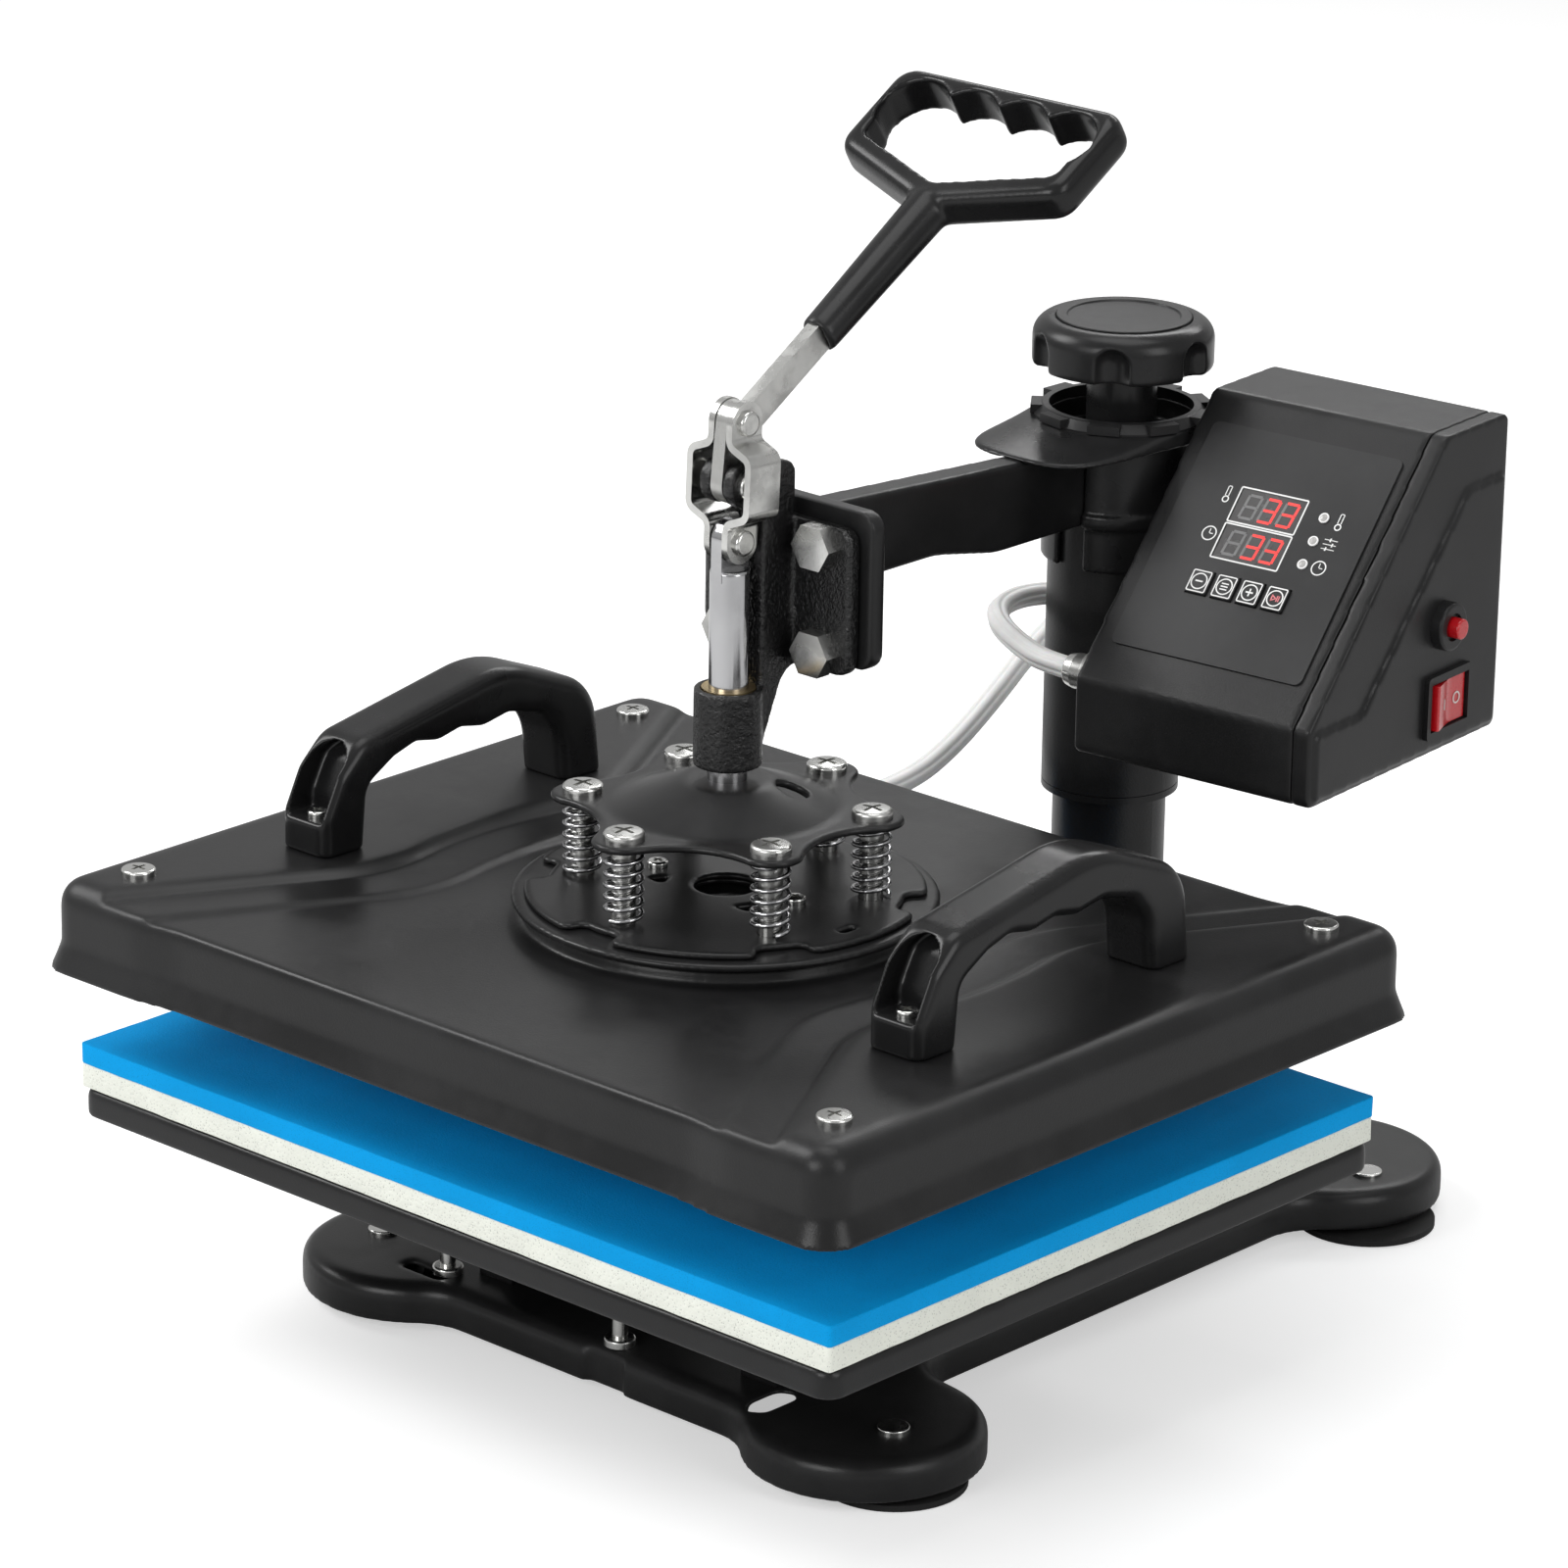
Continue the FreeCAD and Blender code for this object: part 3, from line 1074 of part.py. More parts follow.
def helix_point(turn):
    """Place and heading on the spring's centre line after a turn in radians."""
    rise = spring_rise / (2 * math.pi * spring_turns)
    place = Vector(spring_coil_radius * math.cos(turn), spring_coil_radius * math.sin(turn), rise * turn)
    way = Vector(-spring_coil_radius * math.sin(turn), spring_coil_radius * math.cos(turn), rise)
    return place, way.normalize()


spring_low = disc_top + touch_gap + spring_wire / 2
spring_rise = spider_bottom - spring_wire / 2 - spring_low
spring_line = []
for quarter in range(int(4 * spring_turns)):
    here, here_way = helix_point(quarter * math.pi / 2)
    there, there_way = helix_point((quarter + 1) * math.pi / 2)
    spring_line += biarc(here, here_way, there, there_way)
spring_start, spring_way = helix_point(0)
wire_section = Part.Wire(Part.makeCircle(spring_wire / 2, spring_start, spring_way))
spring_shape = Part.Wire(spring_line).makePipeShell([wire_section], True, False)
samples = [helix_point(2 * math.pi * i / 40)[0] for i in range(int(40 * spring_turns) + 1)]
self_gap = min((samples[i] - samples[j]).Length for i in range(len(samples)) for j in range(i + 20, len(samples)))
print("pressure spring: %d curls, least self gap %.2f mm" % (spring_turns, self_gap - spring_wire))
pressure_springs = feature(Part.makeCompound(
    [moved(spring_shape, x, y, spring_low, Rotation(Vector(0, 0, 1), math.degrees(turn)))
     for (x, y), turn in zip(spring_spots, spring_angles)]))
seat(keep(pressure_springs, "pressure_springs"), 0, 0, 0)

# Platen: heating plate, insulation and cover
corner_screws = [(i * corner_screw_x, j * corner_screw_y) for i in (-1, 1) for j in (-1, 1)]
scoop_y = -handle_half_length + 8
handle_screws = [(side * handle_x, scoop_y) for side in (-1, 1)]
disc_screws = [(-31.3, -3.6), (31.3, 3.6)]
screw_grip = 6.0

heating_plate = new_body("heating_plate")
plate_block = pad(heating_plate, [box_outline(plate_width, plate_depth, plate_corner)], "plate_thickness")
round_body(heating_plate, plate_block, 1, lambda edge: flat_at(edge, 0))
pocket(heating_plate, [circles_outline(corner_screws, screw_radius)], screw_grip, plate_thickness)
seat(heating_plate, 0, 0, plate_bottom)

insulation = new_body("insulation")
pad(insulation, [box_outline(plate_width - 4, plate_depth - 4, plate_corner)], "wool_thickness")
pocket(insulation, [circles_outline(corner_screws, pillar_radius)], "wool_thickness", wool_thickness)
seat(insulation, 0, 0, plate_top)


def zone_outline(inwards):
    """The lowered middle of the cover's top, waisted between the handles, drawn in by a distance along X."""
    front = cover_width / 2 - zone_front_inset - inwards
    waist = cover_width / 2 - zone_waist_inset - inwards
    bulge = cover_width / 2 - zone_bulge_inset - inwards
    past = cover_depth / 2 + 5
    return rounded_outline([(-front, -past, 0), (front, -past, 0), (waist, -zone_waist_y, zone_waist_round),
                            (bulge, 0, zone_bulge_round), (waist, zone_waist_y, zone_waist_round), (front, past, 0),
                            (-front, past, 0), (-waist, zone_waist_y, zone_waist_round),
                            (-bulge, 0, zone_bulge_round), (-waist, -zone_waist_y, zone_waist_round)])


def wall_outline(outset):
    """The cover's outline with its drawn-in middle at the front and at the back."""
    side, front = cover_width / 2 - cover_flare + outset, cover_depth / 2 - cover_flare + outset
    outer = cover_width / 2 - recess_end_inset
    inner = outer - recess_run
    corner = cover_corner - cover_flare + outset
    run = [(-side, -front, corner), (-outer, -front, 60), (-inner, cover_recess - front, 60),
           (inner, cover_recess - front, 60), (outer, -front, 60), (side, -front, corner)]
    return rounded_outline(run + [(-x, -y, radius) for x, y, radius in run])


wall_width = cover_width - 2 * cover_flare
wall_depth = cover_depth - 2 * cover_flare
cavity_top = cover_low_top - cover_wall - cover_lip
flare_angle = math.degrees(math.atan2(cover_flare, cover_flare_height))
cover = new_body("cover")
pad(cover, [wall_outline(cover_flare)], "cover_flare_height", 0.0, -flare_angle)
cover_block = pad(cover, [wall_outline(0)], "cover_height")
round_body(cover, cover_block, "cover_round", lambda edge: flat_at(edge, cover_height))


def ramp_angle(drop):
    return -math.degrees(math.atan2(ramp, drop))


pocket(cover, [zone_outline(0)], "rib_drop", cover_height, ramp_angle(rib_drop))
pocket(cover, [zone_outline(ramp + 1.3), zone_outline(groove_band)], "groove_depth", cover_height - rib_drop)
pocket(cover, [zone_outline(groove_band + rib_band - ramp)], "cover_drop - rib_drop", cover_height - rib_drop,
       ramp_angle(cover_drop - rib_drop))
cavity = box_outline(wall_width - 2 * cover_wall, wall_depth - 2 * cover_wall - 2 * cover_recess, 8)
pocket(cover, [cavity], cavity_top, cavity_top)
zone_bulge = cover_width / 2 - zone_bulge_inset
for side in (-1, 1):
    pocket(cover, [square_outline(side * (zone_bulge + wall_width / 2) / 2, 0,
                                  wall_width / 2 - zone_bulge - 8 - 2 * cover_wall, 2 * zone_waist_y)],
           cover_height - cover_wall, cover_height - cover_wall)
pillar_bottom = plate_top - cover_lip
pad(cover, [circle_outline(x, y, pillar_radius) for x, y in corner_screws], cavity_top - pillar_bottom,
    pillar_bottom)
boss = pad(cover, [circle_outline(0, 0, boss_radius)], "boss_rise", cover_low_top - cover_lip)
round_body(cover, boss, 3, lambda edge: flat_at(edge, boss_top - cover_lip))
pocket(cover, [circles_outline(corner_screws + handle_screws, screw_radius)], cover_height, cover_height)
bolt_foot = boss_top - 5
pocket(cover, [circles_outline(spring_spots, 3), circles_outline(disc_screws, screw_radius)],
       boss_top - bolt_foot, boss_top - cover_lip)
seat(cover, 0, 0, cover_lip)

ring_plate = new_body("ring_plate")
pad(ring_plate, [circle_outline(0, 0, ring_plate_radius), circle_outline(0, 0, ring_plate_bore)],
    "ring_plate_height")
pocket(ring_plate, [circles_outline(spring_spots, 3), circles_outline(disc_screws, screw_radius)],
       "ring_plate_height", ring_plate_height)
seat(ring_plate, 0, 0, boss_top)

disc = new_body("notched_disc")
disc_outline = []
bend = (disc_radius - disc_notch_radius) / 2
bend_circle = (disc_radius + disc_notch_radius) / 2
bend_step = math.asin(bend / bend_circle)
half_notch = math.radians(disc_notch_angle / 2)
for turn in spring_angles:
    next_turn = turn + math.pi / 3
    crest_in, floor_in = turn - half_notch - bend_step, turn - half_notch + bend_step
    floor_out, crest_out = turn + half_notch - bend_step, turn + half_notch + bend_step
    crest_next = next_turn - half_notch - bend_step
    knee_in = (polar(bend_circle, crest_in) + polar(bend_circle, floor_in)) * 0.5
    knee_out = (polar(bend_circle, floor_out) + polar(bend_circle, crest_out)) * 0.5
    disc_outline += [arc_about(polar(bend_circle, crest_in), polar(disc_radius, crest_in), knee_in),
                     arc_about(polar(bend_circle, floor_in), knee_in, polar(disc_notch_radius, floor_in)),
                     arc_about(Vector(), polar(disc_notch_radius, floor_in), polar(disc_notch_radius, floor_out)),
                     arc_about(polar(bend_circle, floor_out), polar(disc_notch_radius, floor_out), knee_out),
                     arc_about(polar(bend_circle, crest_out), knee_out, polar(disc_radius, crest_out)),
                     arc_about(Vector(), polar(disc_radius, crest_out), polar(disc_radius, crest_next))]
pad(disc, [disc_outline, circle_outline(0, 0, disc_bore)], "disc_height")
arrows = [rounded_outline([(x, y + 5, 0), (x - 4, y - 3, 0), (x + 4, y - 3, 0)]) for x, y in ((-22, -12), (22, -12))]
pocket(disc, [circles_outline(spring_spots, 3), circles_outline(disc_screws, screw_radius),
              square_outline(63.7, -3.4, 3, 8)] + arrows, "disc_height", disc_height)
seat(disc, 0, 0, disc_bottom)

bolt_shape = spun_shape([(0, bolt_foot, 0), (3, bolt_foot, 0), (3, disc_top, 0), (spring_bolt_radius, disc_top, 0),
                         (spring_bolt_radius, spider_top, 0), (spring_head_radius, spider_top, 0),
                         (spring_head_radius, spider_top + spring_head_height, 1.4),
                         (0, spider_top + spring_head_height + 0.6, 0)])
cross = Part.makeBox(9, 1.6, 3, Vector(-4.5, -0.8, spider_top + spring_head_height - 1.2))
cross = cross.fuse(Part.makeBox(1.6, 9, 3, Vector(-0.8, -4.5, spider_top + spring_head_height - 1.2)))
bolt_shape = bolt_shape.cut(cross)
spring_bolts = feature(Part.makeCompound([moved(bolt_shape, x, y, 0) for x, y in spring_spots]))
seat(keep(spring_bolts, "spring_bolts"), 0, 0, 0)


def screw_at(x, y, seat_height, foot_height):
    """A cross-headed pan screw whose head sits at a height and whose shank reaches down to another."""
    head = corner_screw_radius * (1.0 if seat_height == cover_top else 0.62)
    shape = spun_shape([(0, foot_height, 0), (screw_radius, foot_height, 0), (screw_radius, seat_height, 0),
                        (head, seat_height, 0), (head, seat_height + 2.4, 1), (0, seat_height + 2.8, 0)])
    for length, width in ((head, 1.2), (1.2, head)):
        shape = shape.cut(Part.makeBox(length, width, 3, Vector(-length / 2, -width / 2, seat_height + 1.4)))
    return moved(shape, x, y, 0)


platen_screws = feature(Part.makeCompound(
    [screw_at(x, y, cover_top, plate_top - screw_grip) for x, y in corner_screws]
    + [screw_at(x, y, cover_top + handle_scoop_floor, cover_low_top - cover_wall) for x, y in handle_screws]
    + [screw_at(x, y, disc_top, bolt_foot) for x, y in disc_screws]))
seat(keep(platen_screws, "platen_screws"), 0, 0, 0)


def platen_handle(label, side):
    """One moulded lifting handle with finger waves below and an open, arched screw scoop in front."""
    nose, rear = -handle_half_length, handle_half_length + 2
    under = handle_rise - handle_grip_depth - 3
    waves = [(-36, under - 1, 8), (-24, under + handle_wave, 8), (-12, under, 8), (0, under + handle_wave, 8),
             (12, under, 8), (26, under + handle_wave, 10)]
    outline = rounded_outline([(nose, 0, 0), (nose, 15, 6), (nose + 8, 31, 12), (nose + 20, handle_front_rise - 1, 14),
                               (handle_peak_y, handle_rise + 2, 50), (rear - 4, handle_rear_rise, 22),
                               (rear, 0, 0), (rear - handle_leg, 0, 0), (rear - handle_leg - 2, 20, 20),
                               (44, under - 2, 9)]
                              + list(reversed(waves))
                              + [(nose + handle_leg + 2, under - 9, 8), (nose + handle_leg, 0, 0)])
    half = handle_width / 2
    handle = slab_shape([outline], handle_width)
    handle.Placement = Placement(Vector(-half, 0, 0), SIDE_VIEW)
    handle = handle.makeFillet(5, [edge for edge in handle.Edges if edge.BoundBox.XLength < 0.01
                                   and edge.BoundBox.ZMax > 0.5])
    floor, crown, half_scoop = handle_scoop_floor, handle_scoop_floor + handle_scoop_rise, handle_scoop_width / 2
    arch = slab_shape([rounded_outline([(-half_scoop, floor, 1), (half_scoop, floor, 1),
                                        (half_scoop, crown, half_scoop - 0.2),
                                        (-half_scoop, crown, half_scoop - 0.2)])], 2 * handle_half_length)
    arch.Placement = Placement(Vector(), FRONT_VIEW)
    inner = nose + handle_scoop_depth
    reach = slab_shape([rounded_outline([(nose - 5, floor, 0), (inner, floor, 0), (inner, 20, 8), (inner + 7, 33, 12),
                                         (inner + 19, 45, 0), (nose - 5, 45, 0)])], 2 * handle_width)
    reach.Placement = Placement(Vector(-handle_width, 0, 0), SIDE_VIEW)
    screw_hole = Part.makeCylinder(screw_radius, floor + 2, Vector(0, scoop_y, -1))
    handle = handle.cut([arch.common(reach), screw_hole])
    seat(keep(feature(handle), label), side * handle_x, 0, cover_top)


platen_handle("handle_left", -1)
platen_handle("handle_right", 1)

wall_y = wall_depth / 2 - cover_recess
grommet_end = wall_y + grommet_length
grommet = spun_body("cable_grommet", [(0, 0, 0), (grommet_radius, 0, 0), (grommet_radius, 3, 1),
                                      (grommet_radius - 2, 4, 0.5), (grommet_radius - 2, grommet_length, 1),
                                      (0, grommet_length, 0)])
seat(grommet, grommet_x, wall_y, grommet_z, ALONG_Y)

# Control box. Its pieces are drawn in the box's own frame: right, back and up from its front left corner.
slope = math.degrees(math.atan2(box_height - box_front_height, box_slope_depth))
panel_place = Placement(Vector(0, 0, box_front_height), Rotation(Vector(1, 0, 0), slope))
shell_width = box_width - side_panel_thickness


def seat_in_box(item, x=0.0, y=0.0, z=0.0, rotation=UPRIGHT):
    item.Placement = box_place.multiply(Placement(Vector(x, y, z), rotation))
    return item


def seat_on_panel(item, across=0.0, up=0.0, lift=0.0):
    item.Placement = box_place.multiply(panel_place).multiply(Placement(Vector(across, up, lift), UPRIGHT))
    return item


def rect(left, low, right, high, radius=0.0):
    return rounded_outline([(left, low, radius), (right, low, radius), (right, high, radius), (left, high, radius)])


def wedge(inset):
    """The box's side outline: low front lip, leaning panel, flat top and upright back, drawn in by an inset."""
    lean = math.radians(slope)
    fold = inset * math.tan(lean / 2)
    lip = inset * math.tan((math.pi / 2 - lean) / 2)
    round_off = max(box_round - inset, 0.6)
    return rounded_outline([(inset, inset, round_off), (box_depth - inset, inset, round_off),
                            (box_depth - inset, box_height - inset, round_off),
                            (box_slope_depth + fold, box_height - inset, 5),
                            (inset, box_front_height - lip, 3)])


key_spots = [(key_first + i * key_pitch, key_low) for i in range(4)]
lamp_spots = [(lamp_x, lamp_low + i * lamp_pitch) for i in range(3)]
display_lows = (display_low_a, display_low_b)
key_length = key_size + 0.9
key_clearance = 0.25


def panel_openings(spare):
    """Openings for keys, displays and lamps in the panel's plane."""
    openings = [rect(x - key_size / 2 - spare, y - key_length / 2 - spare, x + key_size / 2 + spare,
                     y + key_length / 2 + spare) for x, y in key_spots]
    openings += [rect(display_left, low_edge, display_left + display_width, low_edge + display_length)
                 for low_edge in display_lows]
    return openings + [circles_outline(lamp_spots, lamp_radius)]


main_shell = new_body("main_shell")
side_pad(main_shell, [wedge(0)], "box_width - side_panel_thickness", 0.0)
side_cut(main_shell, [wedge(box_wall)], "box_width - side_panel_thickness - box_wall", shell_width)
back_frame = 12.0
front_pocket(main_shell, [rect(back_frame, back_frame, shell_width - back_frame, box_height - back_frame)],
             10 * box_wall, box_depth - 5 * box_wall)
pocket(main_shell, panel_openings(key_clearance), 4 * box_wall,
       panel_place.multiply(Placement(Vector(0, 0, box_wall), UPRIGHT)))
side_cut(main_shell, [circle_outline(gland_y, gland_z, gland_radius - 2.5)], 2 * box_wall, 1.5 * box_wall)
seat_in_box(main_shell)

side_panel = new_body("side_panel")
raised = 1.5
side_block = side_pad(side_panel, [wedge(0)], "side_panel_thickness - %s" % raised, 0.0)
side_face = side_panel_thickness - raised
front_edge, ridge_low, ridge_high = 3.4, (33.7, box_front_height - 2), (102.9, box_height - 24)
side_pad(side_panel, [rounded_outline([(front_edge, 3, 2), (box_depth - 3, 3, 2), (box_depth - 3, ridge_high[1], 2),
                                       (ridge_high[0], ridge_high[1], 4), (ridge_low[0], ridge_low[1], 4),
                                       (front_edge, ridge_low[1], 2)])], raised, side_face)
side_cut(side_panel, [wedge(box_wall + 1)], side_face - box_wall, 0.0, True)
rocker_hole = rect(rocker_y - rocker_length / 2 + 2, rocker_z - rocker_height / 2 + 2,
                   rocker_y + rocker_length / 2 - 2, rocker_z + rocker_height / 2 - 2)
barrel_radius = 6.2
side_cut(side_panel, [rocker_hole, circle_outline(button_y, button_z, barrel_radius)], 2 * side_panel_thickness,
         side_panel_thickness + 1)
seat_in_box(side_panel, shell_width)

back_panel = new_body("back_panel")
inlet_x, inlet_z, inlet_width, inlet_height = shell_width / 2, 42.0, 27.0, 20.0
inlet_hole = rect(inlet_x - inlet_width / 2, inlet_z - inlet_height / 2, inlet_x + inlet_width / 2,
                  inlet_z + inlet_height / 2)
front_pad(back_panel, [rect(back_frame, back_frame, shell_width - back_frame, box_height - back_frame), inlet_hole],
          "box_wall", box_depth - box_wall)
seat_in_box(back_panel)

inlet_reach, inlet_depth = 2.0, 18.0
mains_inlet = new_body("mains_inlet")
front_pad(mains_inlet, [rect(-inlet_width / 2, -inlet_height / 2, inlet_width / 2, inlet_height / 2, 2)],
          inlet_depth, -inlet_depth)
front_pad(mains_inlet, [rect(-24, -inlet_height / 2 - 2, 24, inlet_height / 2 + 2, 4)], inlet_reach, 0)
front_pocket(mains_inlet, [rect(-inlet_width / 2 + 1.5, -inlet_height / 2 + 1.5, inlet_width / 2 - 1.5,
                                inlet_height / 2 - 1.5, 1)], inlet_depth + inlet_reach, -inlet_depth + 1.5)
for blade in ((-7, -1), (0, 3), (7, -1)):
    front_pad(mains_inlet, [rect(blade[0] - 1, blade[1] - 2, blade[0] + 1, blade[1] + 2)], inlet_depth - 5,
              -inlet_depth + 1)
seat_in_box(mains_inlet, inlet_x, box_depth, inlet_z)

film_left, film_right = panel_film_left, panel_film_left + panel_film_width
overlay = new_body("panel_overlay")
pad(overlay, [rect(film_left, panel_film_low, film_right, panel_film_low + panel_film_length, 3)],
    "film_thickness")
pocket(overlay, panel_openings(key_clearance), 2 * film_thickness, film_thickness * 1.5)
seat_on_panel(overlay)

board_drop, board_thickness = 7.0, 1.6
board_top = -board_drop
board = new_body("control_board")
pad(board, [rect(film_left, panel_film_low + 4, film_right - 4, panel_film_low + panel_film_length - 8)],
    board_thickness, board_top - board_thickness)
posts = [(film_left + 5, panel_film_low + 10), (film_right - 10, panel_film_low + 10),
         (film_left + 5, panel_film_low + panel_film_length - 14),
         (film_right - 10, panel_film_low + panel_film_length - 14)]
pad(board, [circle_outline(x, y, 2.5) for x, y in posts], board_drop - box_wall, board_top)
key_foot = -1.2
pad(board, [rect(x - 3, y - 3, x + 3, y + 3) for x, y in key_spots],
    key_foot - key_travel - 0.1 - board_top, board_top)
seat_on_panel(board)

screens = new_body("displays")
screen_face = film_thickness - 0.3
pad(screens, [rect(0, 0, display_width, display_length)], screen_face - board_top)
pad(screens, [rect(0, display_low_b - display_low_a, display_width, display_low_b - display_low_a + display_length)],
    screen_face - board_top)
pad(screens, [rect(4, 1, display_width - 4, display_low_b - display_low_a + 1)], 2)
seat_on_panel(screens, display_left, display_low_a, board_top)

lamp_shape = spun_shape([(0, board_top, 0), (lamp_radius, board_top, 0), (lamp_radius, film_thickness + 0.6, 0.5),
                         (0, film_thickness + 0.9, 0)])
led_lamps = feature(Part.makeCompound([moved(lamp_shape, x, y, 0) for x, y in lamp_spots]))
seat_on_panel(keep(led_lamps, "led_lamps"))

for (x, y), name in zip(key_spots, ("key_minus", "key_mode", "key_plus", "key_start")):
    key = new_body(name)
    key_block = pad(key, [rect(-key_size / 2, -key_length / 2, key_size / 2, key_length / 2, 1)],
                    "key_height + film_thickness - %s" % key_foot)
    round_body(key, key_block, 0.5, lambda edge: flat_at(edge, key_height + film_thickness - key_foot))
    seat_on_panel(key, x, y, key_foot)

# Rocker switch, thermal reset button and cable connector on the box's walls
housing_depth = 16.0
bezel_height = 2.2
rocker_room = 2.5
rocker_frame = new_body("rocker_frame")
side_pad(rocker_frame, [rect(-rocker_length / 2 + 2, -rocker_height / 2 + 2, rocker_length / 2 - 2,
                             rocker_height / 2 - 2)], housing_depth, -housing_depth)
side_pad(rocker_frame, [rect(-rocker_length / 2, -rocker_height / 2, rocker_length / 2, rocker_height / 2, 2)],
         bezel_height, 0.0)
side_cut(rocker_frame, [rect(-rocker_length / 2 + rocker_room, -rocker_height / 2 + rocker_room + 0.5,
                             rocker_length / 2 - rocker_room, rocker_height / 2 - rocker_room - 0.5)],
         housing_depth + bezel_height - 2, bezel_height)
trunnion_radius, trunnion_x = 1.5, -4.0
pocket(rocker_frame, [circle_outline(trunnion_x, 0, trunnion_radius + running_gap)], rocker_height - 4,
       rocker_height / 2 - 2)
seat_in_box(rocker_frame, box_width, rocker_y, rocker_z)

rocker_half = rocker_length / 2 - rocker_room - 1.2
rocker_rise = rocker_height - 2 * rocker_room - 2.2
rocker = new_body("rocker_switch")
pad(rocker, [rounded_outline([(2.6, -rocker_half, 0.8), (0.9, 0, 20), (2.6, rocker_half, 0.8), (-3, rocker_half, 1),
                              (-7.5, 5, 1), (-7.5, -5, 1), (-3, -rocker_half, 1)])], rocker_rise, -rocker_rise / 2)
trunnion_reach = rocker_height - 5
pad(rocker, [circle_outline(trunnion_x, 0, trunnion_radius)], trunnion_reach, -trunnion_reach / 2)
rocker_turn = Rotation(Vector(0, 0, 1), rocker_tilt)
pivot_back = Vector(trunnion_x, 0, 0) - rocker_turn.multVec(Vector(trunnion_x, 0, 0))
seat_in_box(rocker, box_width + pivot_back.x, rocker_y + pivot_back.y, rocker_z, rocker_turn)

button_reach, button_root, nut_face = 9.0, 10.0, 5.0
breaker_nut = spun_body("breaker_nut", [(button_radius + running_gap, -button_root - button_travel - 1, 0),
                                        (0, -button_root - button_travel - 1, 0),
                                        (0, -button_root - 16, 0), (barrel_radius + 2, -button_root - 16, 1),
                                        (barrel_radius + 2, -side_panel_thickness - 1, 0),
                                        (barrel_radius, -side_panel_thickness - 1, 0), (barrel_radius, 0, 0),
                                        (breaker_nut_radius, 0, 0), (breaker_nut_radius, nut_face, 1.2),
                                        (button_radius + 1.4, nut_face, 0), (button_radius + 1.4, nut_face - 1.4, 0),
                                        (button_radius + running_gap, nut_face - 1.4, 0)])
seat_in_box(breaker_nut, box_width, button_y, button_z, ALONG_X)
reset_button = spun_body("reset_button", [(0, -button_root, 0), (button_radius, -button_root, 0),
                                          (button_radius, button_reach, 0.8), (0, button_reach, 0)])
seat_in_box(reset_button, box_width, button_y, button_z, ALONG_X)

gland_reach, gland_blind = 13.0, 2.0
gland_way = cable_radius + touch_gap
connector = spun_body("cable_connector", [(0, -3 - box_wall, 0), (gland_radius - 2.5, -3 - box_wall, 0),
                                          (gland_radius - 2.5, 0, 0), (gland_radius + 1, 0, 0),
                                          (gland_radius + 1, 3.5, 0.6), (gland_radius - 1, 4.5, 0.4),
                                          (gland_radius - 1, 9, 0.8), (gland_radius - 2, gland_reach, 1),
                                          (gland_way, gland_reach, 0), (gland_way, gland_blind, 0),
                                          (0, gland_blind, 0)])
seat_in_box(connector, 0, gland_y, gland_z, Rotation(Vector(0, 1, 0), -90))

# Heater cable: from the grommet in the cover's rear wall, in a loop behind the sleeve and to the connector
gland_end = box_place.multVec(Vector(-gland_blind, gland_y, gland_z))
gland_out = box_place.multVec(Vector(-gland_blind - 22, gland_y, gland_z))
route = [Vector(x, platen_y + y, z) for x, y, z in
         [(grommet_x, grommet_end + touch_gap, grommet_z), (grommet_x, 188, 158.5), (-74, 212, 168), (-74, 237, 183),
          (-78, 263, 196), (-79, 289, 207), (-60, 308, 215), (-32, 309, 221), (-13, 290, 226), (-13, 263, 230),
          (-33, 244.5, 233), (-46, 222, 235), (-41, 198, 236), (-24, 179, 237), (-3, 166, 237)]]
route += [gland_out, gland_end]


def cable_edges(points):
    """Straight runs joined by tangent arcs, each as large as its two runs allow."""
    edges = []
    here = points[0]
    radii = []
    for before, corner, after in zip(points, points[1:], points[2:]):
        arriving, leaving = corner - before, after - corner
        turn = arriving.getAngle(leaving)
        shorter = min(arriving.Length, leaving.Length)
        radius = 0.45 * shorter / math.tan(turn / 2)
        radii.append(radius)
        back = 0.45 * shorter
        start = corner - arriving.normalize() * back
        end = corner + leaving.normalize() * back
        inward = (start + end) * 0.5 - corner
        reach = math.hypot(radius, back) - radius
        crown = corner + inward.normalize() * reach
        edges += [Part.LineSegment(here, start).toShape(), Part.Arc(start, crown, end).toShape()]
        here = end
    edges.append(Part.LineSegment(here, points[-1]).toShape())
    return edges, radii


route_edges, bend_radii = cable_edges(route)
route_wire = Part.Wire(route_edges)
cable_section = Part.Wire(Part.makeCircle(cable_radius, route[0], route[1] - route[0]))
cable_shape = route_wire.makePipeShell([cable_section], True, False)
print("heater cable: length %.1f mm, volume against section times length %.4f, bend radii in mm:" %
      (route_wire.Length, cable_shape.Volume / (math.pi * cable_radius ** 2 * route_wire.Length)),
      ", ".join("%.1f" % radius for radius in bend_radii))
heater_cable = feature(cable_shape)
keep(heater_cable, "heater_cable")
heater_cable.Placement = Placement()

doc.recompute()
for item in doc.Objects:
    if "Invalid" in item.State or "Error" in item.State:
        raise RuntimeError("%s (%s) did not compute" % (item.Name, item.Label))
for item in nodes:
    if item.Shape.isNull() or not item.Shape.isValid():
        raise RuntimeError("%s has no valid shape" % item.Label)
os.makedirs("parts", exist_ok=True)
for item in nodes:
    item.Shape.exportStep("parts/%s.step" % item.Label)
print("wrote %d pieces" % len(nodes))
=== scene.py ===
"""Swing-away combo heat press: finishes, soft pads, heater cable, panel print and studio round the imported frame."""

import math

import bmesh
import bpy
from bpy.props import FloatProperty, FloatVectorProperty, IntProperty, PointerProperty
from mathutils import Matrix, Vector, noise


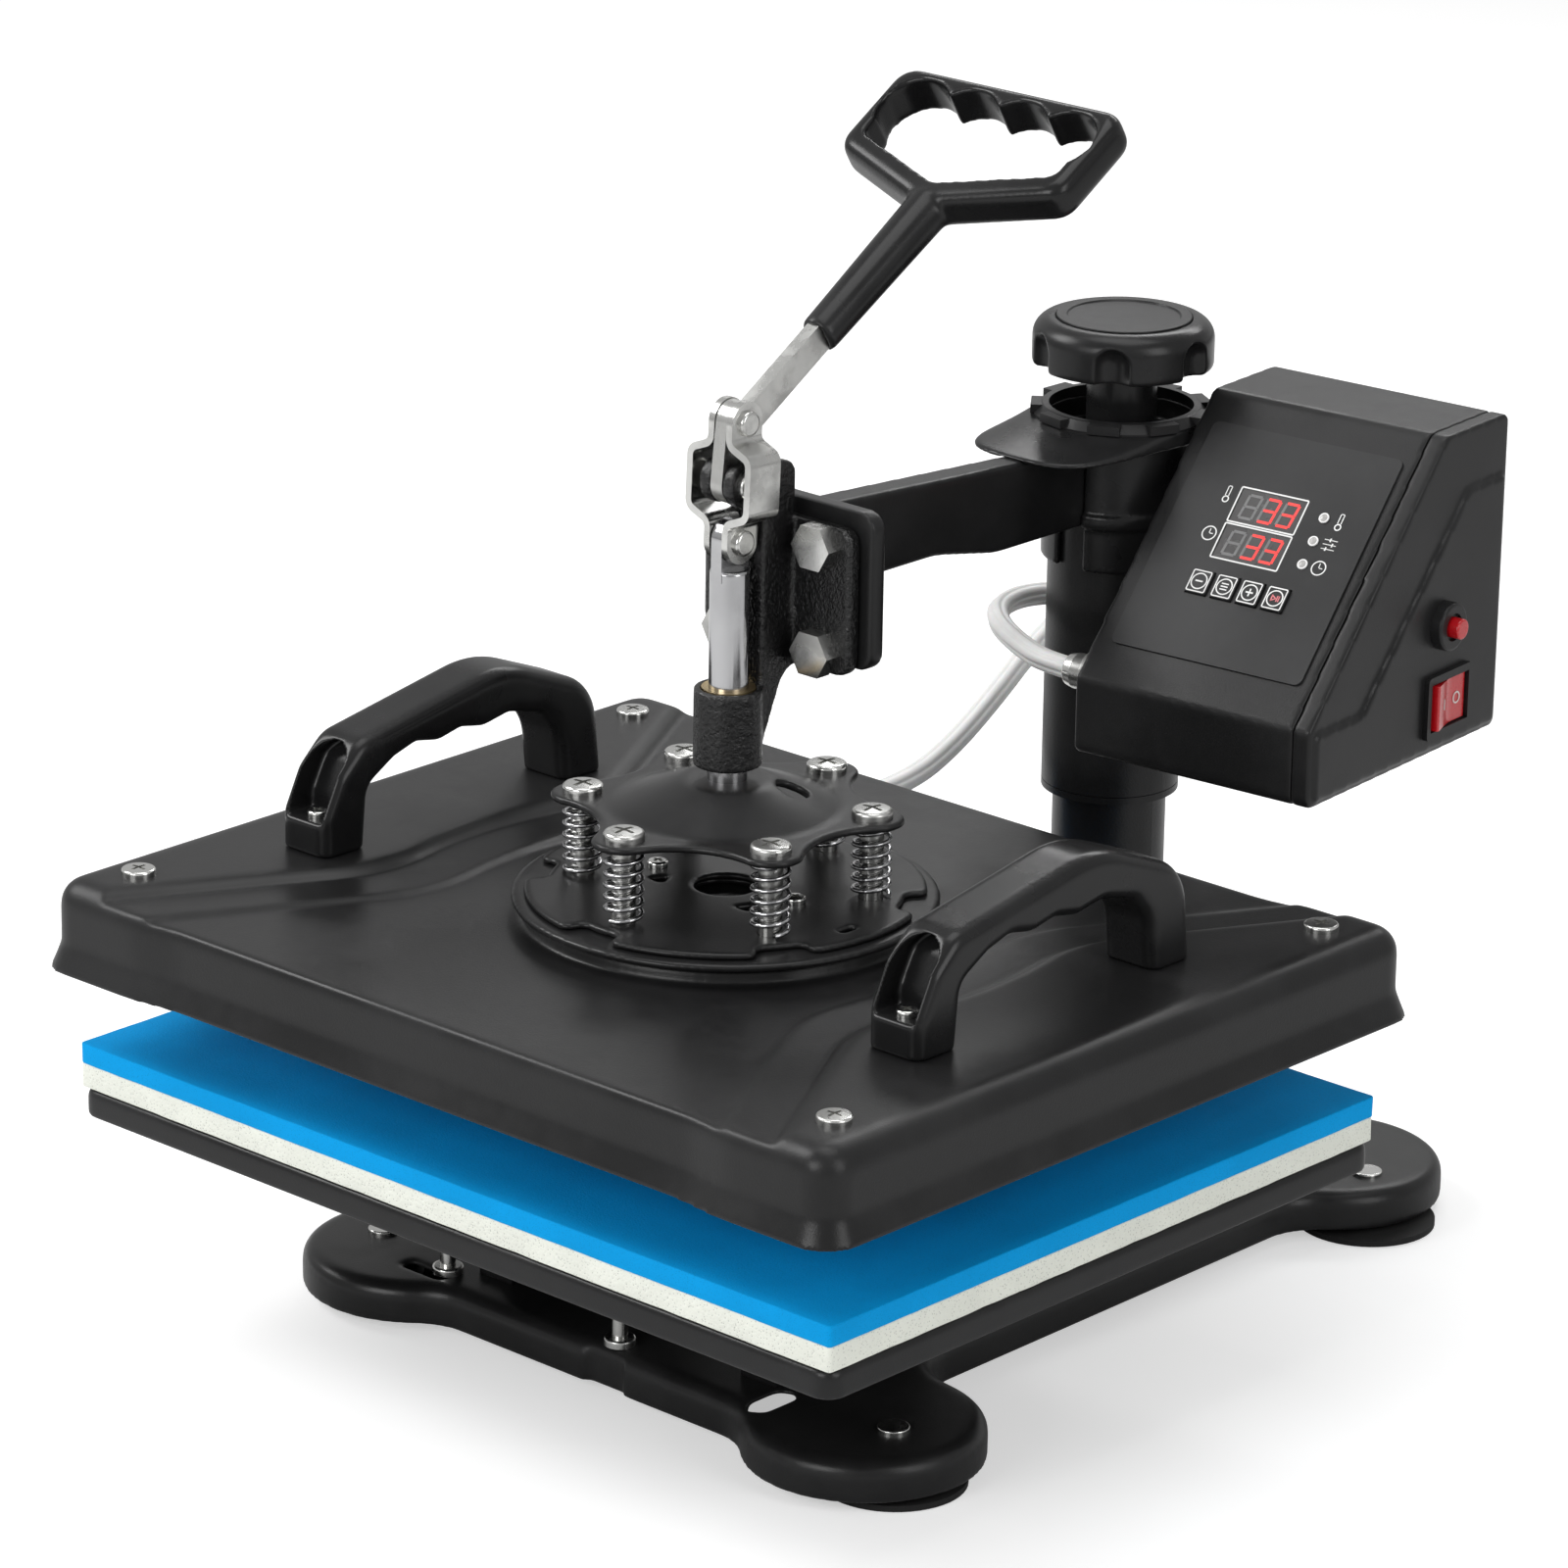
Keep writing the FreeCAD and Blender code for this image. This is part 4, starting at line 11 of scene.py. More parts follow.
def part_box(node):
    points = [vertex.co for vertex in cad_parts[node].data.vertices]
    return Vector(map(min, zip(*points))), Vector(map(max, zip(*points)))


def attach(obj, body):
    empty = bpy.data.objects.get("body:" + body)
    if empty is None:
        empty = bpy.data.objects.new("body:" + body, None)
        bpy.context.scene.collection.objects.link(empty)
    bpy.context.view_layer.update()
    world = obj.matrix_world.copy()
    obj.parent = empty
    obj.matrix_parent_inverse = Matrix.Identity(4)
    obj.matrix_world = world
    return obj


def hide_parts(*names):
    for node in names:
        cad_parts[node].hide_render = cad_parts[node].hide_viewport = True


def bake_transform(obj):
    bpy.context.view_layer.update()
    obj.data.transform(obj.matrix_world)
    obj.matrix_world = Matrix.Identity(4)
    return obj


bl_info = {
    "name": "Swing-away heat press",
    "version": (1, 0, 0),
    "blender": (4, 5, 0),
    "location": "View3D > Sidebar > Heat Press",
    "description": "Dresses the frame of a swing-away heat press and lights it in a small studio",
    "category": "Object",
}

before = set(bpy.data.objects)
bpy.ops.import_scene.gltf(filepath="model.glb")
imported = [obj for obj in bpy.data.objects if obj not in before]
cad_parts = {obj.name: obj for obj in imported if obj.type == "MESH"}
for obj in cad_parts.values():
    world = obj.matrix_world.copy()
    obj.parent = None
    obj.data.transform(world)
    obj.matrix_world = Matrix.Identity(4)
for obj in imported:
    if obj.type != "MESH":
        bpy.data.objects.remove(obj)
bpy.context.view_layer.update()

PAD_LOW, PAD_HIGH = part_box("silicone_pad")
FOAM_LOW, FOAM_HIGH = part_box("foam_pad")
WOOL_LOW, WOOL_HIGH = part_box("insulation")

# The control box stands turned on the arm, and its panel leans back
BOX_CORNER = (0.044, 0.0687, 0.209)
BOX_YAW = math.radians(5.5)
PANEL_FOLD = 0.0303
PANEL_LEAN = math.atan2(0.094, 0.0875)
BOX = Matrix.Translation(BOX_CORNER) @ Matrix.Rotation(BOX_YAW, 4, "Z")
PANEL = BOX @ Matrix.Translation((0, 0, PANEL_FOLD)) @ Matrix.Rotation(PANEL_LEAN, 4, "X")

# Route of the heater cable's centreline, from the cover's grommet to the box's connector
CABLE_ROUTE = (
    (-0.075, 0.0903, 0.158), (-0.075, 0.112, 0.1585), (-0.074, 0.136, 0.168), (-0.074, 0.161, 0.183),
    (-0.078, 0.187, 0.196), (-0.079, 0.213, 0.207), (-0.060, 0.232, 0.215), (-0.032, 0.233, 0.221),
    (-0.013, 0.214, 0.226), (-0.013, 0.187, 0.230), (-0.033, 0.1685, 0.233), (-0.046, 0.146, 0.235),
    (-0.041, 0.122, 0.236), (-0.024, 0.103, 0.237), (-0.003, 0.090, 0.237),
)
# Its last two points, in the box's own place, run straight into the connector
GLAND_ROUTE = ((-0.024, 0.015, 0.027), (-0.002, 0.015, 0.027))

CAMERA_PLACE = (1.6379, -1.8437, 1.0550)
CAMERA_AZIMUTH, CAMERA_ELEVATION, CAMERA_ROLL = math.radians(42.322), math.radians(19.079), math.radians(0.909)


def colour_property(name, description, default):
    return FloatVectorProperty(name=name, description=description, default=default, size=3, min=0, max=1,
                               subtype="COLOR")


def length_property(name, description, default):
    return FloatProperty(name=name, description=description, default=default, min=0, subtype="DISTANCE",
                         unit="LENGTH", precision=5)


class FinishSettings(bpy.types.PropertyGroup):
    enamel: colour_property("Enamel", "Satin black paint of the cast and pressed parts", (0.0090, 0.0090, 0.0093))
    moulding: colour_property("Moulding", "Black moulded grips, knob and box", (0.0085, 0.0085, 0.0088))
    zinc: colour_property("Zinc", "Plated screws, links and lever bar", (0.70, 0.70, 0.68))
    chrome: colour_property("Chrome", "Plunger rod and springs", (0.52, 0.52, 0.53))
    silicone: colour_property("Silicone", "Blue top sheet of the lower pad", (0.002, 0.350, 0.800))
    foam: colour_property("Foam", "Off-white sponge under the blue sheet", (0.86, 0.88, 0.80))
    cable: colour_property("Cable", "White sleeve of the heater cable", (0.86, 0.86, 0.85))
    lamp: colour_property("Lamp red", "Rocker switch and reset button", (0.60, 0.006, 0.012))


class CoverSettings(bpy.types.PropertyGroup):
    voxel: length_property("Voxel", "Step of the even mesh that the pressed sheet is softened on", 0.001)
    softness: IntProperty(name="Softness", description="Rounds of smoothing of the drawn edges", default=9, min=0)


class PadSettings(bpy.types.PropertyGroup):
    corner: length_property("Corner", "Corner radius of both sheets", 0.002)
    edge: length_property("Edge", "Softening of the cut edges", 0.0005)
    ripple: length_property("Ripple", "Unevenness of the cut sides", 0.00025)


class CableSettings(bpy.types.PropertyGroup):
    diameter: length_property("Diameter", "Outside of the sleeve", 0.009)
    strands: IntProperty(name="Strands", description="Wires that show through the sleeve", default=6, min=3)
    groove: FloatProperty(name="Groove", description="Depth of the furrows between the wires", default=0.15,
                          min=0, max=0.3, subtype="FACTOR")


class PanelSettings(bpy.types.PropertyGroup):
    line: length_property("Line", "Width of the printed lines", 0.00062)
    digit_height: length_property("Digit height", "Height of a seven-segment digit", 0.0098)
    digit_width: length_property("Digit width", "Width of a seven-segment digit", 0.0056)
    segment: length_property("Segment", "Width of one segment", 0.0011)


class StudioSettings(bpy.types.PropertyGroup):
    lens: FloatProperty(name="Lens", description="Focal length on a 36 mm sensor", default=159.62, min=10,
                        unit="CAMERA")
    floor: colour_property("Floor", "Pale studio floor", (0.74, 0.74, 0.74))
    key_power: FloatProperty(name="Key", description="Large soft lamp on the left", default=36, min=0,
                             unit="POWER")
    front_power: FloatProperty(name="Front", description="Soft lamp in front", default=20, min=0, unit="POWER")
    fill_power: FloatProperty(name="Fill", description="Soft lamp on the right", default=12, min=0, unit="POWER")
    back_power: FloatProperty(name="Back", description="Strip behind the press", default=9, min=0, unit="POWER")
    top_power: FloatProperty(name="Top", description="Wide soft lamp overhead", default=14, min=0, unit="POWER")
    sky: FloatProperty(name="Sky", description="Strength of the even light from all round", default=0.36, min=0)
    sky_gloss: FloatProperty(name="Sky in gloss", default=0.5, min=0,
                             description="Paleness of the backdrop in polished and painted faces")
    floor_lift: FloatProperty(name="Floor lift", description="Whiteness added where the camera sees the floor",
                              default=0.48, min=0)


# ---- shader groups ----


def shader_group(name, inputs, outputs):
    """An empty shader node group with its sockets, and its input and output nodes."""
    tree = bpy.data.node_groups.new(name, "ShaderNodeTree")
    for label, kind, value in inputs:
        socket = tree.interface.new_socket(label, in_out="INPUT", socket_type="NodeSocket" + kind)
        socket.default_value = value
    for label, kind in outputs:
        tree.interface.new_socket(label, in_out="OUTPUT", socket_type="NodeSocket" + kind)
    return tree, tree.nodes.new("NodeGroupInput").outputs, tree.nodes.new("NodeGroupOutput").inputs


def math_node(tree, operation, first, second=None, third=None):
    node = tree.nodes.new("ShaderNodeMath")
    node.operation = operation
    for socket, value in zip(node.inputs, (first, second, third)):
        if isinstance(value, (int, float)):
            socket.default_value = value
        elif value is not None:
            tree.links.new(value, socket)
    return node.outputs[0]


def noise_node(tree, vector, scale, detail=2.0, roughness=0.5):
    node = tree.nodes.new("ShaderNodeTexNoise")
    node.inputs["Detail"].default_value = detail
    node.inputs["Roughness"].default_value = roughness
    tree.links.new(vector, node.inputs["Vector"])
    if isinstance(scale, (int, float)):
        node.inputs["Scale"].default_value = scale
    else:
        tree.links.new(scale, node.inputs["Scale"])
    return node.outputs["Fac"]


def object_place(tree):
    return tree.nodes.new("ShaderNodeTexCoord").outputs["Object"]


def ramp(tree, factor, low, high, start=0.0, end=1.0):
    """A smooth step of a mask from one range to another."""
    node = tree.nodes.new("ShaderNodeMapRange")
    node.interpolation_type = "SMOOTHSTEP"
    tree.links.new(factor, node.inputs["Value"])
    for label, value in (("From Min", low), ("From Max", high), ("To Min", start), ("To Max", end)):
        if isinstance(value, (int, float)):
            node.inputs[label].default_value = value
        else:
            tree.links.new(value, node.inputs[label])
    return node.outputs["Result"]


def orange_peel_group():
    """Fine pimples of powder coat or spark-eroded moulding, with broad smears in the gloss."""
    tree, given, result = shader_group(
        "Moulded grain",
        (("Grain Scale", "Float", 1800.0), ("Smear Scale", "Float", 14.0)),
        (("Height", "Float"), ("Smear", "Float")))
    place = object_place(tree)
    fine = noise_node(tree, place, given["Grain Scale"], 3.0, 0.6)
    tree.links.new(fine, result["Height"])
    broad = noise_node(tree, place, given["Smear Scale"], 5.0, 0.62)
    tree.links.new(ramp(tree, broad, 0.35, 0.7), result["Smear"])
    return tree


def dust_group():
    """Pale dust that settles on upward faces, thicker in patches."""
    tree, given, result = shader_group(
        "Settled dust",
        (("Amount", "Float", 0.2), ("Patch Scale", "Float", 22.0)),
        (("Mask", "Float"),))
    facing = tree.nodes.new("ShaderNodeSeparateXYZ")
    tree.links.new(tree.nodes.new("ShaderNodeNewGeometry").outputs["Normal"], facing.inputs[0])
    upward = ramp(tree, facing.outputs["Z"], 0.3, 1.0)
    place = object_place(tree)
    patches = ramp(tree, noise_node(tree, place, given["Patch Scale"], 2.0, 0.5), 0.3, 0.8)
    specks = ramp(tree, noise_node(tree, place, 2600.0, 1.0), 0.66, 0.74)
    both = math_node(tree, "ADD", math_node(tree, "MULTIPLY", patches, 0.55),
                     math_node(tree, "MULTIPLY", specks, 0.8))
    tree.links.new(math_node(tree, "MULTIPLY", math_node(tree, "MULTIPLY", both, upward), given["Amount"]),
                   result["Mask"])
    return tree


def drawn_lines_group():
    """Fine lines that rolling, grinding or turning leaves along a metal part."""
    tree, given, result = shader_group(
        "Drawn lines",
        (("Stretch", "Vector", (30.0, 900.0, 900.0)), ("Smear Scale", "Float", 40.0)),
        (("Height", "Float"), ("Smear", "Float")))
    place = object_place(tree)
    stretched = tree.nodes.new("ShaderNodeVectorMath")
    stretched.operation = "MULTIPLY"
    tree.links.new(place, stretched.inputs[0])
    tree.links.new(given["Stretch"], stretched.inputs[1])
    tree.links.new(noise_node(tree, stretched.outputs[0], 1.0, 3.0, 0.65), result["Height"])
    tree.links.new(noise_node(tree, place, given["Smear Scale"], 4.0, 0.6), result["Smear"])
    return tree


def pore_group():
    """Open cells of a sponge, as pits of two sizes, with a mask of painted shade for the pits."""
    tree, given, result = shader_group(
        "Sponge cells",
        (("Cell Scale", "Float", 1500.0), ("Mottle Scale", "Float", 60.0)),
        (("Height", "Float"), ("Pit Shade", "Float"), ("Mottle", "Float")))
    place = object_place(tree)
    cells = tree.nodes.new("ShaderNodeTexVoronoi")
    tree.links.new(place, cells.inputs["Vector"])
    tree.links.new(given["Cell Scale"], cells.inputs["Scale"])
    fine = noise_node(tree, place, math_node(tree, "MULTIPLY", given["Cell Scale"], 0.8), 3.0, 0.7)
    height = math_node(tree, "ADD", cells.outputs["Distance"], fine)
    tree.links.new(math_node(tree, "MULTIPLY", height, 0.5), result["Height"])
    # Painted shade: this mask is strongest in the cells' pits, where the colour is darkened to stand in for shade
    tree.links.new(ramp(tree, cells.outputs["Distance"], 0.1, 0.32, 1.0, 0.0), result["Pit Shade"])
    tree.links.new(ramp(tree, noise_node(tree, place, given["Mottle Scale"], 4.0), 0.35, 0.65), result["Mottle"])
    return tree


GROUPS = {}


def place_group(tree, name, **values):
    """One copy of a shared effect in a material, with its own values."""
    makers = {"grain": orange_peel_group, "dust": dust_group, "lines": drawn_lines_group, "pores": pore_group}
    if name not in GROUPS:
        GROUPS[name] = makers[name]()
    node = tree.nodes.new("ShaderNodeGroup")
    node.node_tree = GROUPS[name]
    for label, value in values.items():
        node.inputs[label.replace("_", " ")].default_value = value
    return node.outputs


def new_finish(name, roughness, metallic=0.0, **sockets):
    """A material with its Principled shader and plain values set on it."""
    material = bpy.data.materials.new(name)
    material.use_nodes = True
    tree = material.node_tree
    shader = tree.nodes["Principled BSDF"]
    shader.inputs["Roughness"].default_value = roughness
    shader.inputs["Metallic"].default_value = metallic
    for label, value in sockets.items():
        shader.inputs[label.replace("_", " ")].default_value = value
    return material, tree, shader


def mix_colours(tree, factor, first, second):
    node = tree.nodes.new("ShaderNodeMix")
    node.data_type = "RGBA"
    tree.links.new(factor, node.inputs["Factor"])
    for socket, value in ((node.inputs[6], first), (node.inputs[7], second)):
        if isinstance(value, bpy.types.NodeSocket):
            tree.links.new(value, socket)
        else:
            socket.default_value = (*value, 1.0)
    return node.outputs[2]


def add_bump(tree, shader, height, distance, strength=1.0):
    bump = tree.nodes.new("ShaderNodeBump")
    bump.inputs["Strength"].default_value = strength
    bump.inputs["Distance"].default_value = distance
    tree.links.new(height, bump.inputs["Height"])
    tree.links.new(bump.outputs["Normal"], shader.inputs["Normal"])


def coated(name, colour, roughness=(0.38, 0.52), grain=1800.0, depth=0.00003, dust=0.12, specular=0.3):
    """Painted or moulded black: fine grain, smears in the gloss and a little dust."""
    material, tree, shader = new_finish(name, roughness[0], Specular_IOR_Level=specular)
    surface = place_group(tree, "grain", Grain_Scale=grain)
    settled = place_group(tree, "dust", Amount=dust)
    lighter = tuple(min(1.0, c * 1.5 + 0.002) for c in colour)
    toned = mix_colours(tree, surface["Smear"], colour, lighter)
    tree.links.new(mix_colours(tree, settled["Mask"], toned, (0.16, 0.155, 0.15)), shader.inputs["Base Color"])
    tree.links.new(ramp(tree, surface["Smear"], 0.0, 1.0, roughness[0], roughness[1]), shader.inputs["Roughness"])
    add_bump(tree, shader, surface["Height"], depth)
    return material


def plated(name, colour, roughness=(0.16, 0.32), stretch=(60.0, 60.0, 900.0), depth=0.000012, stain=0.75):
    """Plated or bare steel with drawn lines and duller patches."""
    material, tree, shader = new_finish(name, roughness[0], metallic=1.0)
    lines = place_group(tree, "lines", Stretch=stretch)
    patches = ramp(tree, lines["Smear"], 0.4, 0.68)
    tree.links.new(mix_colours(tree, patches, colour, tuple(c * stain for c in colour)), shader.inputs["Base Color"])
    tree.links.new(ramp(tree, patches, 0.0, 1.0, roughness[0], roughness[1]), shader.inputs["Roughness"])
    add_bump(tree, shader, lines["Height"], depth)
    return material


def two_toned(name, first, second, roughness, scale, mask="Smear", **sockets):
    """A plain finish whose colour wanders between two tones."""
    material, tree, shader = new_finish(name, roughness, **sockets)
    surface = place_group(tree, "grain", Grain_Scale=scale)
    tree.links.new(mix_colours(tree, surface[mask], first, second), shader.inputs["Base Color"])
    return material


def dress(material, *names):
    """Give CAD nodes or pieces one material."""
    for name in names:
        item = bpy.data.objects[name]
        item.data.materials.clear()
        item.data.materials.append(material)


def finished(name, bm, material, body, smooth=True):
    """Turn a bmesh into a piece that rides on a body."""
    mesh = bpy.data.meshes.new(name)
    bm.to_mesh(mesh)
    bm.free()
    mesh.polygons.foreach_set("use_smooth", [smooth] * len(mesh.polygons))
    mesh.materials.append(material)
    piece = bpy.data.objects.new(name, mesh)
    bpy.context.scene.collection.objects.link(piece)
    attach(piece, body)
    return piece


class PRESS_OT_painted_parts(bpy.types.Operator):
    """Give the cast, pressed and moulded black parts their paint and grain"""
    bl_idname = "press.painted_parts"
    bl_label = "Painted and moulded parts"

    def execute(self, context):
        finish = context.scene.press_finish
        enamel, moulding = tuple(finish.enamel), tuple(finish.moulding)
        dress(coated("Plate enamel", enamel, (0.28, 0.42), 1300.0, 0.00005, 0.06), "tray_support", "post_flange")
        dress(coated("Tube enamel", enamel, (0.28, 0.4), 1100.0, 0.00008, 0.04), "sleeve", "thrust_bush", "post_tube")
        dress(coated("Moulded trim", moulding, (0.28, 0.4), 2600.0, 0.00002, 0.03), "knob_cap", "lock_ring")
        dress(coated("Back panel moulding", moulding, (0.32, 0.44), 1700.0, 0.00005, 0.04), "back_panel")
        dress(coated("Switch housings", moulding, (0.3, 0.4), 2600.0, 0.00002, 0.03), "rocker_frame", "mains_inlet",
              "breaker_nut")
        dress(coated("Foot rubber", (0.01, 0.01, 0.01), (0.55, 0.7), 900.0, 0.00006, 0.1), "rubber_feet",
              "cable_grommet")
        return {"FINISHED"}


def merged_copy(node):
    """A bmesh of a CAD node's loose triangles with their corners joined."""
    bm = bmesh.new()
    bm.from_mesh(bpy.data.objects[node].data)
    bmesh.ops.remove_doubles(bm, verts=bm.verts, dist=2e-6)
    return bm


def baked(piece):
    """Make a piece's modifiers part of its mesh."""
    bpy.context.view_layer.update()
    shaped = bpy.data.meshes.new_from_object(piece.evaluated_get(bpy.context.evaluated_depsgraph_get()))
    piece.modifiers.clear()
    piece.data = shaped


def softened(name, node, material, body, voxel, rounds, most=110000, kept=0.0):
    """A node's shape on a fine even mesh with eased edges, as moulds and dies leave them."""
    piece = finished(name, merged_copy(node), material, body)
    even = piece.modifiers.new("Even mesh", "REMESH")
    even.mode = "VOXEL"
    even.voxel_size = voxel
    baked(piece)
    bm = bmesh.new()
    bm.from_mesh(piece.data)
    rim = min(v.co.z for v in bm.verts) + kept
    free = [v for v in bm.verts if v.co.z >= rim]
    for _ in range(rounds):
        bmesh.ops.smooth_vert(bm, verts=free, factor=0.5, use_axis_x=True, use_axis_y=True, use_axis_z=True)
    triangles = sum(len(f.verts) - 2 for f in bm.faces)
    bm.to_mesh(piece.data)
    bm.free()
    if triangles > most:
        fewer = piece.modifiers.new("Fewer faces", "DECIMATE")
        fewer.ratio = most / triangles
        baked(piece)
    mesh = piece.data
    mesh.polygons.foreach_set("use_smooth", [True] * len(mesh.polygons))
    mesh.materials.clear()
    mesh.materials.append(material)
    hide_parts(node)
    return piece


class PRESS_OT_cover(bpy.types.Operator):
    """Draw the platen's cover as one soft pressed sheet"""
    bl_idname = "press.cover"
    bl_label = "Pressed cover"

    def execute(self, context):
        cover, finish = context.scene.press_cover, context.scene.press_finish
        paint = coated("Cover enamel", tuple(finish.enamel), (0.3, 0.42), 1300.0, 0.00006, 0.02)
        softened("pressed_cover", "cover", paint, "platen", cover.voxel, cover.softness,
                 most=185000, kept=0.002)
        return {"FINISHED"}


class PRESS_OT_mouldings(bpy.types.Operator):
    """Ease the edges of the moulded and cast parts, as their tools leave them"""
    bl_idname = "press.mouldings"
    bl_label = "Mouldings and castings"

    def execute(self, context):
        finish = context.scene.press_finish
        enamel, moulding = tuple(finish.enamel), tuple(finish.moulding)
        grips = coated("Moulded grips", moulding, (0.22, 0.32), 2600.0, 0.00002, 0.03)
        for node, body, rounds in (("handle_left", "platen", 5), ("handle_right", "platen", 5),
                                   ("lever_handle", "press_lever", 14), ("hood", "swing_arm", 5)):
            softened(node + "_moulding", node, grips, body, 0.0008, rounds, 90000)
        softened("knob_moulding", "knob", grips, "pressure_knob", 0.0007, 5)
        box = coated("Box moulding", moulding, (0.3, 0.42), 1700.0, 0.00005, 0.04)
        for node in ("main_shell", "side_panel"):
            softened(node + "_moulding", node, box, "swing_arm", 0.0009, 3, 130000)
        cast = coated("Cast bracket", tuple(c * 0.6 for c in enamel), (0.16, 0.3), 520.0, 0.0007, 0.02, 0.5)
        softened("bracket_casting", "bracket", cast, "swing_arm", 0.0008, 4)
        dome = coated("Spider enamel", enamel, (0.28, 0.4), 1200.0, 0.00004, 0.03)
        softened("spider_pressing", "spider", dome, "plunger", 0.0008, 6)
        softened("disc_pressing", "notched_disc", dome, "platen", 0.0008, 5, 80000)
        softened("ring_pressing", "ring_plate", dome, "platen", 0.001, 5, 80000)
        frame_paint = coated("Frame enamel", enamel, (0.28, 0.42), 1300.0, 0.00005, 0.06)
        softened("base_casting", "base_frame", frame_paint, "base", 0.0012, 5, 130000)
        softened("tray_pressing", "tray", frame_paint, "base", 0.0012, 6, 110000)
        softened("arm_casting", "arm", frame_paint, "swing_arm", 0.0009, 4)
        return {"FINISHED"}


class PRESS_OT_metal_parts(bpy.types.Operator):
    """Give the plated, turned and cast metal parts their finish"""
    bl_idname = "press.metal_parts"
    bl_label = "Bare and plated metal"

    def execute(self, context):
        finish = context.scene.press_finish
        zinc, chrome = tuple(finish.zinc), tuple(finish.chrome)
        dress(plated("Zinc fasteners", zinc, (0.18, 0.34), (260.0, 260.0, 260.0)), "base_fasteners", "flange_bolts",
              "pivot_pin", "link_rivets", "spring_bolts", "platen_screws", "plunger_nut", "guide_pins",
              "cable_connector")
        dress(plated("Pressed links", zinc, (0.2, 0.36), (300.0, 90.0, 90.0)), "links")
        dress(plated("Lever bar", zinc, (0.22, 0.4), (900.0, 70.0, 70.0)), "lever_bar")
        dress(plated("Plunger chrome", chrome, (0.16, 0.22), (90.0, 90.0, 8.0), 0.000004, 0.9), "plunger_rod",
              "lead_screw")
        dress(plated("Spring wire", chrome, (0.14, 0.26), (200.0, 200.0, 200.0)), "pressure_springs")
        dress(plated("Heating plate", (0.55, 0.55, 0.56), (0.35, 0.5), (120.0, 120.0, 120.0)), "heating_plate")
        dress(plated("Bearing bronze", (0.55, 0.42, 0.22), (0.25, 0.4), (300.0, 300.0, 60.0)), "post_nut",
              "plunger_bush")
        return {"FINISHED"}


class PRESS_OT_box_parts(bpy.types.Operator):
    """Give the film, displays, keys, lamps and switches their finish"""
    bl_idname = "press.box_parts"
    bl_label = "Control box trim"

    def execute(self, context):
        red = tuple(context.scene.press_finish.lamp)
        dress(coated("Panel film", (0.016, 0.016, 0.0165), (0.34, 0.42), 2400.0, 0.00003, 0.03), "panel_overlay",
              "key_minus", "key_mode", "key_plus", "key_start")
        glass, tree, shader = new_finish("Display window", 0.2, Base_Color=(0.05, 0.048, 0.048, 1))
        surface = place_group(tree, "grain", Grain_Scale=300.0)
        tree.links.new(ramp(tree, surface["Smear"], 0, 1, 0.2, 0.32), shader.inputs["Roughness"])
        dress(glass, "displays")
        dress(two_toned("Lamp lens", (0.5, 0.5, 0.48), (0.32, 0.3, 0.3), 0.2, 500.0, "Height", Coat_Weight=0.6),
              "led_lamps")
        gloss, tree, shader = new_finish("Red switch plastic", 0.16, Coat_Weight=0.5, Coat_Roughness=0.08,
                                         Subsurface_Weight=0.15, Subsurface_Scale=0.002)
        surface = place_group(tree, "grain", Grain_Scale=700.0)
        tree.links.new(mix_colours(tree, surface["Smear"], red, tuple(c * 0.8 for c in red)),
                       shader.inputs["Base Color"])
        tree.links.new(ramp(tree, surface["Smear"], 0, 1, 0.14, 0.28), shader.inputs["Roughness"])
        dress(gloss, "rocker_switch", "reset_button")
        dress(two_toned("Circuit board", (0.01, 0.09, 0.04), (0.02, 0.16, 0.07), 0.4, 500.0, "Height"),
              "control_board")
        return {"FINISHED"}


def sheet_piece(name, low, high, edge, corner, ripple, material, body, cells, seed):
    """A cut sheet of sponge or rubber: rounded corners, softened edges and slightly uneven sides."""
    bm = bmesh.new()
    bmesh.ops.create_cube(bm, size=1.0)
    bmesh.ops.scale(bm, verts=bm.verts, vec=high - low)
    bmesh.ops.translate(bm, verts=bm.verts, vec=(low + high) / 2)
    upright = [e for e in bm.edges if abs(e.verts[0].co.z - e.verts[1].co.z) > 1e-4]
    bmesh.ops.bevel(bm, geom=upright, offset=corner, segments=4, profile=0.5, affect="EDGES", material=-1)
    rim = [e for e in bm.edges if abs(e.verts[0].co.z - e.verts[1].co.z) < 1e-6
           and e.calc_face_angle(0.0) > 0.5]
    bmesh.ops.bevel(bm, geom=rim, offset=edge, segments=3, profile=0.5, affect="EDGES", material=-1)
    for axis in (0, 1):
        step = (high[axis] - low[axis]) / cells
        for i in range(1, cells):
            plane = Vector((0, 0, 0))
            plane[axis] = 1.0
            spot = low.copy()
            spot[axis] += i * step
            bmesh.ops.bisect_plane(bm, geom=bm.verts[:] + bm.edges[:] + bm.faces[:], plane_co=spot, plane_no=plane)
    middle = (low + high) / 2
    half = (high - low) / 2
    for vert in bm.verts:
        away = vert.co - middle
        if abs(away.x) > half.x - 2 * edge or abs(away.y) > half.y - 2 * edge:
            shift = noise.noise(Vector((vert.co.x, vert.co.y, vert.co.z + seed)) * 140.0)
            along = Vector((away.x if abs(away.x) > half.x - 2 * edge else 0,
                            away.y if abs(away.y) > half.y - 2 * edge else 0, 0)).normalized()
            vert.co -= along * ripple * (1 + shift)
    bmesh.ops.recalc_face_normals(bm, faces=bm.faces)
    return finished(name, bm, material, body)


